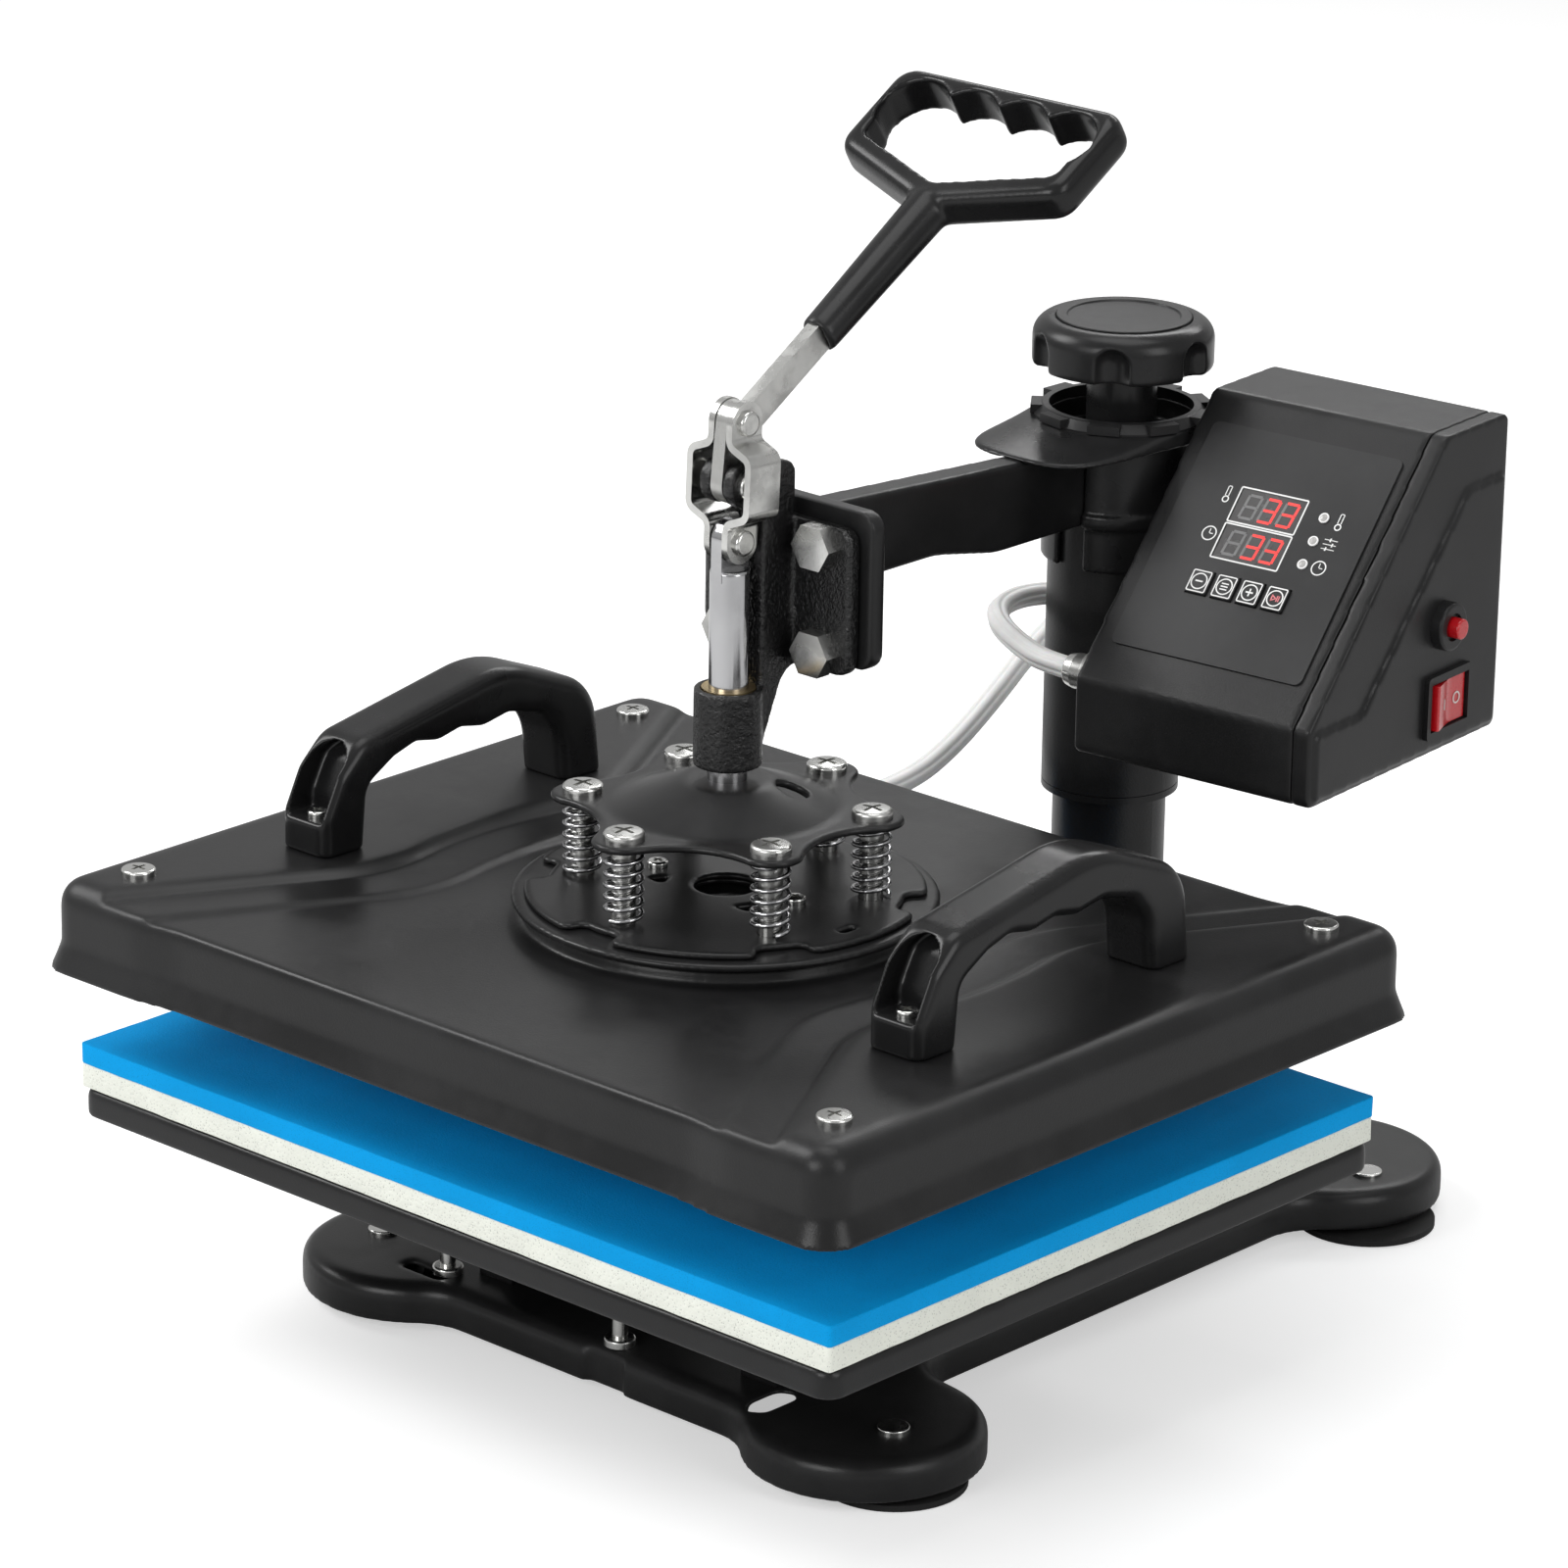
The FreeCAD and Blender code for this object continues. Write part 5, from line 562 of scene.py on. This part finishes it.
class PRESS_OT_pads(bpy.types.Operator):
    """Lay the sponge and the blue silicone sheet on the tray"""
    bl_idname = "press.pads"
    bl_label = "Foam and silicone pads"

    def execute(self, context):
        finish, pad = context.scene.press_finish, context.scene.press_pad
        blue = tuple(finish.silicone)
        silicone, tree, shader = new_finish("Blue silicone", 0.7, Specular_IOR_Level=0.08)
        cells = place_group(tree, "pores", Cell_Scale=1300.0, Mottle_Scale=25.0)
        toned = mix_colours(tree, cells["Mottle"], blue, tuple(c * 0.93 for c in blue))
        # Painted shade: the pits get a darker blue to stand in for the shade inside the open cells
        tree.links.new(mix_colours(tree, cells["Pit Shade"], toned, tuple(c * 0.72 for c in blue)),
                       shader.inputs["Base Color"])
        add_bump(tree, shader, cells["Height"], 0.00012)
        piece = sheet_piece("blue_pad", PAD_LOW, PAD_HIGH, pad.edge, pad.corner, pad.ripple, silicone, "base", 48, 3.0)
        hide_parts("silicone_pad")

        white = tuple(finish.foam)
        sponge, tree, shader = new_finish("White sponge", 0.85, Specular_IOR_Level=0.25)
        cells = place_group(tree, "pores", Cell_Scale=900.0, Mottle_Scale=45.0)
        toned = mix_colours(tree, cells["Mottle"], white, tuple(c * 0.94 for c in white))
        # Painted shade: the pits get a darker white to stand in for the shade inside the open cells
        tree.links.new(mix_colours(tree, cells["Pit Shade"], toned, tuple(c * 0.62 for c in white)),
                       shader.inputs["Base Color"])
        add_bump(tree, shader, cells["Height"], 0.0004)
        piece = sheet_piece("sponge_pad", FOAM_LOW, FOAM_HIGH, pad.edge, pad.corner, pad.ripple * 1.6, sponge, "base",
                            48, 11.0)
        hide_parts("foam_pad")
        return {"FINISHED"}


class PRESS_OT_blanket(bpy.types.Operator):
    """Lay the ceramic wool between the heating plate and the cover"""
    bl_idname = "press.blanket"
    bl_label = "Insulation blanket"

    def execute(self, context):
        wool, tree, shader = new_finish("Ceramic wool", 0.95, Specular_IOR_Level=0.2, Sheen_Weight=0.3)
        cells = place_group(tree, "pores", Cell_Scale=500.0, Mottle_Scale=30.0)
        tree.links.new(mix_colours(tree, cells["Mottle"], (0.72, 0.70, 0.64), (0.6, 0.58, 0.52)),
                       shader.inputs["Base Color"])
        add_bump(tree, shader, cells["Height"], 0.0006)
        piece = sheet_piece("wool_blanket", WOOL_LOW, WOOL_HIGH, 0.002, 0.006, 0.0006, wool, "platen", 24, 5.0)
        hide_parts("insulation")
        return {"FINISHED"}


def route_points():
    return [Vector(p) for p in CABLE_ROUTE] + [BOX @ Vector(p) for p in GLAND_ROUTE]


def nurbs_curve(name, points, resolution):
    """An open spline that starts and ends on its first and last points."""
    curve = bpy.data.curves.new(name, "CURVE")
    curve.dimensions = "3D"
    curve.resolution_u = resolution
    spline = curve.splines.new("NURBS")
    spline.points.add(len(points) - 1)
    for point, place in zip(spline.points, points):
        point.co = (*place, 1.0)
    spline.order_u = 3
    spline.use_endpoint_u = True
    return bpy.data.objects.new(name, curve)


def strand_profile(radius, strands, groove):
    """A closed outline with one swelling for each wire in the sleeve."""
    curve = bpy.data.curves.new("sleeve_profile", "CURVE")
    curve.dimensions = "2D"
    spline = curve.splines.new("POLY")
    count = strands * 8
    spline.points.add(count - 1)
    for i, point in enumerate(spline.points):
        angle = 2 * math.pi * i / count
        reach = radius * (1 - groove * (1 - abs(math.cos(strands * angle / 2))) ** 1.5)
        point.co = (reach * math.cos(angle), reach * math.sin(angle), 0, 1)
    spline.use_cyclic_u = True
    return bpy.data.objects.new("sleeve_profile", curve)


class PRESS_OT_cable(bpy.types.Operator):
    """Lead the heater cable from the cover, in a loop behind the sleeve, to the control box"""
    bl_idname = "press.cable"
    bl_label = "Heater cable"

    def execute(self, context):
        cable = context.scene.press_cable
        route = nurbs_curve("cable_route", route_points(), 14)
        centreline = bpy.data.meshes.new_from_object(route)
        profile = strand_profile(cable.diameter / 2, cable.strands, cable.groove)
        for curve in (profile, route):
            context.scene.collection.objects.link(curve)
        route.data.bevel_mode = "OBJECT"
        route.data.bevel_object = profile
        route.data.use_fill_caps = True
        context.view_layer.update()
        tube = route.evaluated_get(context.evaluated_depsgraph_get())
        bm = bmesh.new()
        bm.from_mesh(bpy.data.meshes.new_from_object(tube))
        bmesh.ops.remove_doubles(bm, verts=bm.verts, dist=1e-6)
        bmesh.ops.recalc_face_normals(bm, faces=bm.faces)
        white = tuple(context.scene.press_finish.cable)
        sleeve, tree, shader = new_finish("White sleeve", 0.42, Subsurface_Weight=0.1, Subsurface_Scale=0.001)
        surface = place_group(tree, "grain", Grain_Scale=1400.0, Smear_Scale=60.0)
        tree.links.new(mix_colours(tree, surface["Smear"], white, tuple(c * 0.92 for c in white)),
                       shader.inputs["Base Color"])
        add_bump(tree, shader, surface["Height"], 0.00006)
        mesh = bpy.data.meshes.new("heater_lead")
        bm.to_mesh(mesh)
        bm.free()
        mesh.polygons.foreach_set("use_smooth", [True] * len(mesh.polygons))
        mesh.materials.append(sleeve)
        piece = bpy.data.objects.new("heater_lead", mesh)
        bpy.context.scene.collection.objects.link(piece)
        bpy.data.objects.remove(profile)
        bpy.data.objects.remove(route)
        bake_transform(piece)
        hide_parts("heater_cable")
        return {"FINISHED"}


INK_GRAIN = 2000.0
INK_LIFT, INK_THICKNESS = 0.00001, 0.00006


def printed(bm, lift, thickness=INK_THICKNESS):
    """Place flat printing on the panel's face and give it the thickness of ink."""
    bmesh.ops.recalc_face_normals(bm, faces=bm.faces)
    flat = bm.faces[:]
    bmesh.ops.solidify(bm, geom=flat, thickness=thickness)
    low = min(v.co.z for v in bm.verts)
    bmesh.ops.translate(bm, verts=bm.verts, vec=(0, 0, lift - low))
    bmesh.ops.transform(bm, matrix=PANEL, verts=bm.verts)
    bmesh.ops.recalc_face_normals(bm, faces=bm.faces)


def stroke(bm, start, end, width):
    """A straight printed line with square ends."""
    a, b = Vector((*start, 0)), Vector((*end, 0))
    along = (b - a).normalized() * width / 2
    across = Vector((-along.y, along.x, 0))
    turn = Matrix((across.normalized(), along.normalized(), Vector((0, 0, 1)))).transposed().to_4x4()
    size = Matrix.Diagonal((width, (b - a).length + width, 1, 1))
    bmesh.ops.create_grid(bm, x_segments=1, y_segments=1, size=0.5,
                          matrix=Matrix.Translation((a + b) / 2) @ turn @ size)


def ring(bm, centre, radius, width, sides=24):
    made = bmesh.ops.create_circle(bm, cap_ends=True, segments=sides, radius=radius,
                                   matrix=Matrix.Translation((*centre, 0)))
    face = made["verts"][0].link_faces[0]
    bmesh.ops.inset_individual(bm, faces=[face], thickness=width, use_even_offset=True)
    bmesh.ops.delete(bm, geom=[face], context="FACES")


def dot(bm, centre, radius, sides=20):
    bmesh.ops.create_circle(bm, cap_ends=True, segments=sides, radius=radius, matrix=Matrix.Translation((*centre, 0)))


def outline(bm, left, low, right, high, radius, width):
    """A printed frame with rounded corners."""
    place = Matrix.Translation(((left + right) / 2, (low + high) / 2, 0)) @ Matrix.Diagonal(
        (right - left, high - low, 1, 1))
    made = bmesh.ops.create_grid(bm, x_segments=1, y_segments=1, size=0.5, matrix=place)
    corners = made["verts"]
    rounded = bmesh.ops.bevel(bm, geom=corners, offset=radius, segments=5, profile=0.5, affect="VERTICES",
                              material=-1)
    face = max((f for v in rounded["verts"] for f in v.link_faces), key=lambda f: f.calc_area())
    bmesh.ops.inset_individual(bm, faces=[face], thickness=width, use_even_offset=True)
    bmesh.ops.delete(bm, geom=[face], context="FACES")


SEGMENTS = {"a": ((0, 2), (1, 2)), "b": ((1, 1), (1, 2)), "c": ((1, 0), (1, 1)), "d": ((0, 0), (1, 0)),
            "e": ((0, 0), (0, 1)), "f": ((0, 1), (0, 2)), "g": ((0, 1), (1, 1))}
LIT_FIGURE = "abcdg"
FIGURES, FIGURE_STEP, FIGURE_INSET, FIGURE_SLANT = 3, 0.0083, (0.0033, 0.0022), 0.09


def digit(bm, left, low, segments, panel):
    """Seven-segment figure from its lit segments, leaning a little as display figures do."""
    for name in segments:
        (x0, y0), (x1, y1) = SEGMENTS[name]
        wide, tall = panel.digit_width, panel.digit_height / 2
        start = (left + x0 * wide + FIGURE_SLANT * y0 * tall, low + y0 * tall)
        end = (left + x1 * wide + FIGURE_SLANT * y1 * tall, low + y1 * tall)
        a, b = Vector(start), Vector(end)
        trim = (b - a).normalized() * panel.segment * 0.62
        stroke(bm, tuple(a + trim), tuple(b - trim), panel.segment)


DISPLAY_LEFT, DISPLAY_WIDTH, DISPLAY_HEIGHT = 0.0325, 0.0288, 0.0143
DISPLAY_LOWS = (0.0601, 0.0759)
KEY_CENTRES = [(0.0332 + 0.0113 * i, 0.0485) for i in range(4)]
LAMP_CENTRES = [(0.0712, 0.0648 + 0.0101 * i) for i in range(3)]
FILM_FACE, KEY_FACE, GLASS_FACE = 0.0008, 0.0020, 0.0005
LAMP_STAND = 0.00055


class PRESS_OT_panel_print(bpy.types.Operator):
    """Print the frames, rings and plain symbols on the panel and its keys"""
    bl_idname = "press.panel_print"
    bl_label = "Panel print"

    def execute(self, context):
        panel = context.scene.press_panel
        line = panel.line
        ink = two_toned("White ink", (0.9, 0.9, 0.89), (0.78, 0.78, 0.77), 0.5, INK_GRAIN)
        red_ink = two_toned("Red ink", (0.75, 0.22, 0.24), (0.62, 0.16, 0.18), 0.5, INK_GRAIN)

        bm = bmesh.new()
        for low in DISPLAY_LOWS:
            outline(bm, DISPLAY_LEFT - 0.0008, low - 0.0006, DISPLAY_LEFT + DISPLAY_WIDTH + 0.0008,
                    low + DISPLAY_HEIGHT + 0.0006, 0.0008, line)
        for mark, centre in ((self.thermometer, (0.0272, 0.0865)), (self.clock, (0.0272, 0.0690)),
                             (self.thermometer, (0.0782, LAMP_CENTRES[2][1])),
                             (self.sliders, (0.0782, LAMP_CENTRES[1][1])), (self.clock, (0.0782, LAMP_CENTRES[0][1]))):
            self.enlarged(bm, mark, centre, line, 1.5)
        printed(bm, FILM_FACE + INK_LIFT)
        finished("panel_print", bm, ink, "swing_arm", smooth=False)

        bm = bmesh.new()
        for centre in LAMP_CENTRES:
            ring(bm, centre, 0.0021, 0.0010)
        printed(bm, FILM_FACE + 0.0001, LAMP_STAND)
        finished("lamp_bezels", bm, ink, "swing_arm", smooth=False)

        marks = ((self.minus_mark, "key_minus", "minus_key"), (self.cycle_mark, "key_mode", "mode_key"),
                 (self.plus_mark, "key_plus", "plus_key"), (self.start_mark, "key_start", "start_key"))
        for (x, y), (mark, node, body) in zip(KEY_CENTRES, marks):
            bm = bmesh.new()
            outline(bm, x - 0.0042, y - 0.0046, x + 0.0042, y + 0.0046, 0.0008, line * 0.8)
            ring(bm, (x, y), 0.0035, line * 0.8)
            if mark != self.start_mark:
                mark(bm, (x, y), line)
            printed(bm, KEY_FACE + INK_LIFT)
            finished(node + "_print", bm, ink, body, smooth=False)
        bm = bmesh.new()
        self.start_mark(bm, KEY_CENTRES[3], line)
        printed(bm, KEY_FACE + INK_LIFT)
        finished("key_start_symbol", bm, red_ink, "start_key", smooth=False)
        return {"FINISHED"}

    def enlarged(self, bm, mark, centre, line, scale):
        before = set(bm.verts)
        mark(bm, (0, 0), line / scale)
        fresh = [v for v in bm.verts if v not in before]
        bmesh.ops.scale(bm, verts=fresh, vec=(scale, scale, 1))
        bmesh.ops.translate(bm, verts=fresh, vec=(*centre, 0))

    def minus_mark(self, bm, centre, line):
        stroke(bm, (centre[0] - 0.0013, centre[1]), (centre[0] + 0.0013, centre[1]), line)

    def plus_mark(self, bm, centre, line):
        self.minus_mark(bm, centre, line)
        for side in (-1, 1):
            stroke(bm, (centre[0], centre[1] + side * 0.0007), (centre[0], centre[1] + side * 0.0013), line)

    def cycle_mark(self, bm, centre, line):
        for i in (-1, 0, 1):
            stroke(bm, (centre[0] - 0.0013, centre[1] + i * 0.0012), (centre[0] + 0.0013, centre[1] + i * 0.0012),
                   line * 0.8)

    def start_mark(self, bm, centre, line):
        x, y = centre
        stroke(bm, (x - 0.0014, y - 0.0011), (x - 0.0014, y + 0.0011), line * 0.8)
        stroke(bm, (x - 0.0014, y + 0.0011), (x + 0.0002, y + 0.0001), line * 0.8)
        stroke(bm, (x - 0.0014, y - 0.0011), (x + 0.0002, y - 0.0001), line * 0.8)
        for shift in (0.0009, 0.0017):
            stroke(bm, (x + shift, y - 0.0010), (x + shift, y + 0.0010), line * 0.8)

    def thermometer(self, bm, centre, line):
        x, y = centre
        ring(bm, (x, y - 0.0016), 0.0010, line * 0.8, 16)
        for side in (-1, 1):
            stroke(bm, (x + side * 0.0005, y - 0.0005), (x + side * 0.0005, y + 0.0019), line * 0.6)
        stroke(bm, (x - 0.0003, y + 0.0021), (x + 0.0003, y + 0.0021), line * 0.6)

    def clock(self, bm, centre, line):
        x, y = centre
        ring(bm, centre, 0.0021, line * 0.8)
        stroke(bm, (x, y + 0.0002), (x, y + 0.0012), line * 0.6)
        stroke(bm, (x + 0.0003, y), (x + 0.0010, y), line * 0.6)

    def sliders(self, bm, centre, line):
        x, y = centre
        for i, knob in ((-1, -0.0006), (0, 0.0008), (1, -0.0002)):
            stroke(bm, (x - 0.0018, y + i * 0.0013), (x + 0.0018, y + i * 0.0013), line * 0.5)
            stroke(bm, (x + knob, y + i * 0.0013 - 0.0003), (x + knob, y + i * 0.0013 + 0.0003), line)


class PRESS_OT_digits(bpy.types.Operator):
    """Light the figures behind the two display windows"""
    bl_idname = "press.digits"
    bl_label = "Display figures"

    def execute(self, context):
        panel = context.scene.press_panel
        lit, tree, shader = new_finish("Lit segments", 0.4, Emission_Strength=1.0)
        glow = place_group(tree, "grain", Grain_Scale=900.0)
        tree.links.new(mix_colours(tree, glow["Height"], (1.0, 0.06, 0.05), (0.8, 0.02, 0.02)),
                       shader.inputs["Emission Color"])
        shader.inputs["Base Color"].default_value = (0.4, 0.02, 0.02, 1)
        dark = two_toned("Unlit segments", (0.13, 0.13, 0.13), (0.2, 0.2, 0.2), 0.4, 900.0, "Height")
        for name, material, wanted in (("lit_segments", lit, True), ("unlit_segments", dark, False)):
            bm = bmesh.new()
            for low in DISPLAY_LOWS:
                for i in range(FIGURES):
                    on = "" if i == 0 else LIT_FIGURE
                    segments = [s for s in SEGMENTS if (s in on) == wanted]
                    digit(bm, DISPLAY_LEFT + FIGURE_INSET[0] + i * FIGURE_STEP, low + FIGURE_INSET[1], segments, panel)
            printed(bm, GLASS_FACE + INK_LIFT)
            finished(name, bm, material, "swing_arm", smooth=False)
        return {"FINISHED"}


ROCKER = BOX @ Matrix.Translation((0.10646, 0.09256, 0.020)) @ Matrix.Rotation(math.radians(8), 4, "Z")
ROCKER_FACE, ROCKER_REACH, ROCKER_SLOPE = 0.00175, 0.0054, math.radians(8.95)


class PRESS_OT_switch_marks(bpy.types.Operator):
    """Mark the rocker's on and off ends"""
    bl_idname = "press.switch_marks"
    bl_label = "Switch marks"

    def execute(self, context):
        ink = two_toned("Switch ink", (0.85, 0.8, 0.78), (0.7, 0.65, 0.62), 0.4, INK_GRAIN)
        bm = bmesh.new()
        for side, mark in ((1, self.off_mark), (-1, self.on_mark)):
            before = set(bm.verts)
            mark(bm)
            fresh = [v for v in bm.verts if v not in before]
            along = Vector((math.sin(ROCKER_SLOPE), side * math.cos(ROCKER_SLOPE), 0)) * side
            across = Vector((0, 0, 1))
            place = Matrix((along, across, along.cross(across))).transposed().to_4x4()
            place.translation = (ROCKER_FACE, side * ROCKER_REACH, 0)
            bmesh.ops.transform(bm, matrix=place, verts=fresh)
        bmesh.ops.transform(bm, matrix=ROCKER, verts=bm.verts)
        finished("switch_marks", bm, ink, "power_rocker", smooth=False)
        return {"FINISHED"}

    def raised(self, bm, faces):
        bmesh.ops.recalc_face_normals(bm, faces=faces)
        made = bmesh.ops.extrude_face_region(bm, geom=faces)
        top = [item for item in made["geom"] if isinstance(item, bmesh.types.BMVert)]
        bmesh.ops.translate(bm, verts=top, vec=(0, 0, 0.00022))
        bmesh.ops.recalc_face_normals(bm, faces=bm.faces)

    def off_mark(self, bm):
        before = set(bm.faces)
        ring(bm, (0, 0), 0.0024, 0.0006)
        self.raised(bm, [f for f in bm.faces if f not in before])

    def on_mark(self, bm):
        before = set(bm.faces)
        stroke(bm, (0, -0.0018), (0, 0.0018), 0.0007)
        self.raised(bm, [f for f in bm.faces if f not in before])


class PRESS_OT_studio(bpy.types.Operator):
    """Set the pale floor, the soft lamps and the camera"""
    bl_idname = "press.studio"
    bl_label = "Studio"

    def execute(self, context):
        studio = context.scene.press_studio
        bm = bmesh.new()
        bmesh.ops.create_grid(bm, x_segments=1, y_segments=1, size=14.0)
        mesh = bpy.data.meshes.new("studio_floor")
        bm.to_mesh(mesh)
        bm.free()
        floor = bpy.data.objects.new("studio_floor", mesh)
        floor.location = (0, 0, -0.0003)
        context.scene.collection.objects.link(floor)
        mesh.materials.append(self.paper(tuple(studio.floor), studio.floor_lift))
        self.sky(context, studio.sky, studio.sky_gloss)
        self.lamp(context, "key", (-1.75, -1.0, 1.85), (0, 0, 0.2), (1.2, 1.2), studio.key_power)
        self.lamp(context, "front", (0.1, -2.3, 1.2), (0, 0, 0.2), (1.2, 1.0), studio.front_power)
        self.lamp(context, "fill", (2.1, -0.1, 1.1), (0, 0, 0.2), (0.9, 1.4), studio.fill_power)
        self.lamp(context, "top", (0, 0.1, 2.3), (0, 0, 0.2), (1.6, 1.2), studio.top_power)
        self.lamp(context, "back", (-0.7, 1.7, 1.5), (0, 0, 0.25), (1.5, 0.35), studio.back_power)
        self.camera(context, studio.lens)
        context.scene.view_settings.view_transform = "Standard"
        return {"FINISHED"}

    def seen_directly(self, tree, gloss):
        """One for the background as the camera or glass shows it, and its paler share in gloss."""
        path = tree.nodes.new("ShaderNodeLightPath")
        direct = math_node(tree, "MAXIMUM", path.outputs["Is Camera Ray"], path.outputs["Is Transmission Ray"])
        mirrored = math_node(tree, "MULTIPLY", path.outputs["Is Glossy Ray"], gloss)
        return math_node(tree, "MAXIMUM", direct, mirrored)

    def paper(self, colour, lift):
        """Floor paper that looks white to the camera but still takes the press's shadow."""
        material = bpy.data.materials.new("Studio paper")
        material.use_nodes = True
        tree = material.node_tree
        shader = tree.nodes["Principled BSDF"]
        shader.inputs["Roughness"].default_value = 0.9
        shader.inputs["Specular IOR Level"].default_value = 0.0
        shader.inputs["Base Color"].default_value = (*colour, 1)
        glow = tree.nodes.new("ShaderNodeEmission")
        tree.links.new(math_node(tree, "MULTIPLY", self.seen_directly(tree, 0.0), lift), glow.inputs["Strength"])
        both = tree.nodes.new("ShaderNodeAddShader")
        tree.links.new(shader.outputs[0], both.inputs[0])
        tree.links.new(glow.outputs[0], both.inputs[1])
        tree.links.new(both.outputs[0], tree.nodes["Material Output"].inputs["Surface"])
        return material

    def sky(self, context, strength, gloss):
        """Even light from all round, white behind the press and pale in what its metal mirrors."""
        world = bpy.data.worlds.new("Studio sky")
        context.scene.world = world
        world.use_nodes = True
        tree = world.node_tree
        tree.nodes.clear()
        white = math_node(tree, "MAXIMUM", self.seen_directly(tree, gloss), strength)
        sky = tree.nodes.new("ShaderNodeBackground")
        sky.inputs["Color"].default_value = (1, 1, 1, 1)
        tree.links.new(white, sky.inputs["Strength"])
        tree.links.new(sky.outputs[0], tree.nodes.new("ShaderNodeOutputWorld").inputs["Surface"])

    def lamp(self, context, name, place, aim, size, power):
        light = bpy.data.lights.new("studio_" + name, "AREA")
        light.shape = "RECTANGLE"
        light.size, light.size_y = size
        light.energy = power
        item = bpy.data.objects.new("studio_" + name, light)
        item.location = place
        item.rotation_mode = "QUATERNION"
        item.rotation_quaternion = (Vector(aim) - Vector(place)).to_track_quat("-Z", "Y")
        context.scene.collection.objects.link(item)

    def camera(self, context, lens):
        azimuth, elevation, roll = CAMERA_AZIMUTH, CAMERA_ELEVATION, CAMERA_ROLL
        back = Vector((math.sin(azimuth) * math.cos(elevation), -math.cos(azimuth) * math.cos(elevation),
                       math.sin(elevation)))
        right = Vector((math.cos(azimuth), math.sin(azimuth), 0))
        up = back.cross(right)
        across = math.cos(roll) * right + math.sin(roll) * up
        upward = math.cos(roll) * up - math.sin(roll) * right
        data = bpy.data.cameras.new("photo_camera")
        data.sensor_width = 36.0
        data.lens = lens
        data.clip_end = 50
        camera = bpy.data.objects.new("photo_camera", data)
        turn = Matrix((across, upward, back)).transposed().to_4x4()
        camera.matrix_world = Matrix.Translation(CAMERA_PLACE) @ turn
        context.scene.collection.objects.link(camera)
        context.scene.camera = camera


SETTINGS = (("press_finish", FinishSettings), ("press_cover", CoverSettings), ("press_pad", PadSettings),
            ("press_cable", CableSettings), ("press_panel", PanelSettings), ("press_studio", StudioSettings))
STEPS = (PRESS_OT_studio, PRESS_OT_painted_parts, PRESS_OT_cover, PRESS_OT_mouldings, PRESS_OT_metal_parts,
         PRESS_OT_box_parts, PRESS_OT_pads, PRESS_OT_blanket, PRESS_OT_cable, PRESS_OT_panel_print,
         PRESS_OT_digits, PRESS_OT_switch_marks)


class PRESS_PT_panel(bpy.types.Panel):
    bl_idname = "PRESS_PT_panel"
    bl_label = "Heat Press"
    bl_space_type = "VIEW_3D"
    bl_region_type = "UI"
    bl_category = "Heat Press"

    def draw(self, context):
        for name, settings in SETTINGS:
            box = self.layout.box()
            box.label(text=settings.__name__.replace("Settings", ""))
            for field in settings.__annotations__:
                box.prop(getattr(context.scene, name), field)
        for step in STEPS:
            self.layout.operator(step.bl_idname)


CLASSES = tuple(settings for _, settings in SETTINGS) + STEPS + (PRESS_PT_panel,)


def register():
    for cls in CLASSES:
        bpy.utils.register_class(cls)
    for name, settings in SETTINGS:
        setattr(bpy.types.Scene, name, PointerProperty(type=settings))


def unregister():
    for name, _ in SETTINGS:
        delattr(bpy.types.Scene, name)
    for cls in reversed(CLASSES):
        bpy.utils.unregister_class(cls)


def main():
    register()
    bpy.ops.press.studio()
    bpy.ops.press.painted_parts()
    bpy.ops.press.cover()
    bpy.ops.press.mouldings()
    bpy.ops.press.metal_parts()
    bpy.ops.press.box_parts()
    bpy.ops.press.pads()
    bpy.ops.press.blanket()
    bpy.ops.press.cable()
    bpy.ops.press.panel_print()
    bpy.ops.press.digits()
    bpy.ops.press.switch_marks()


if __name__ == "__main__":
    main()
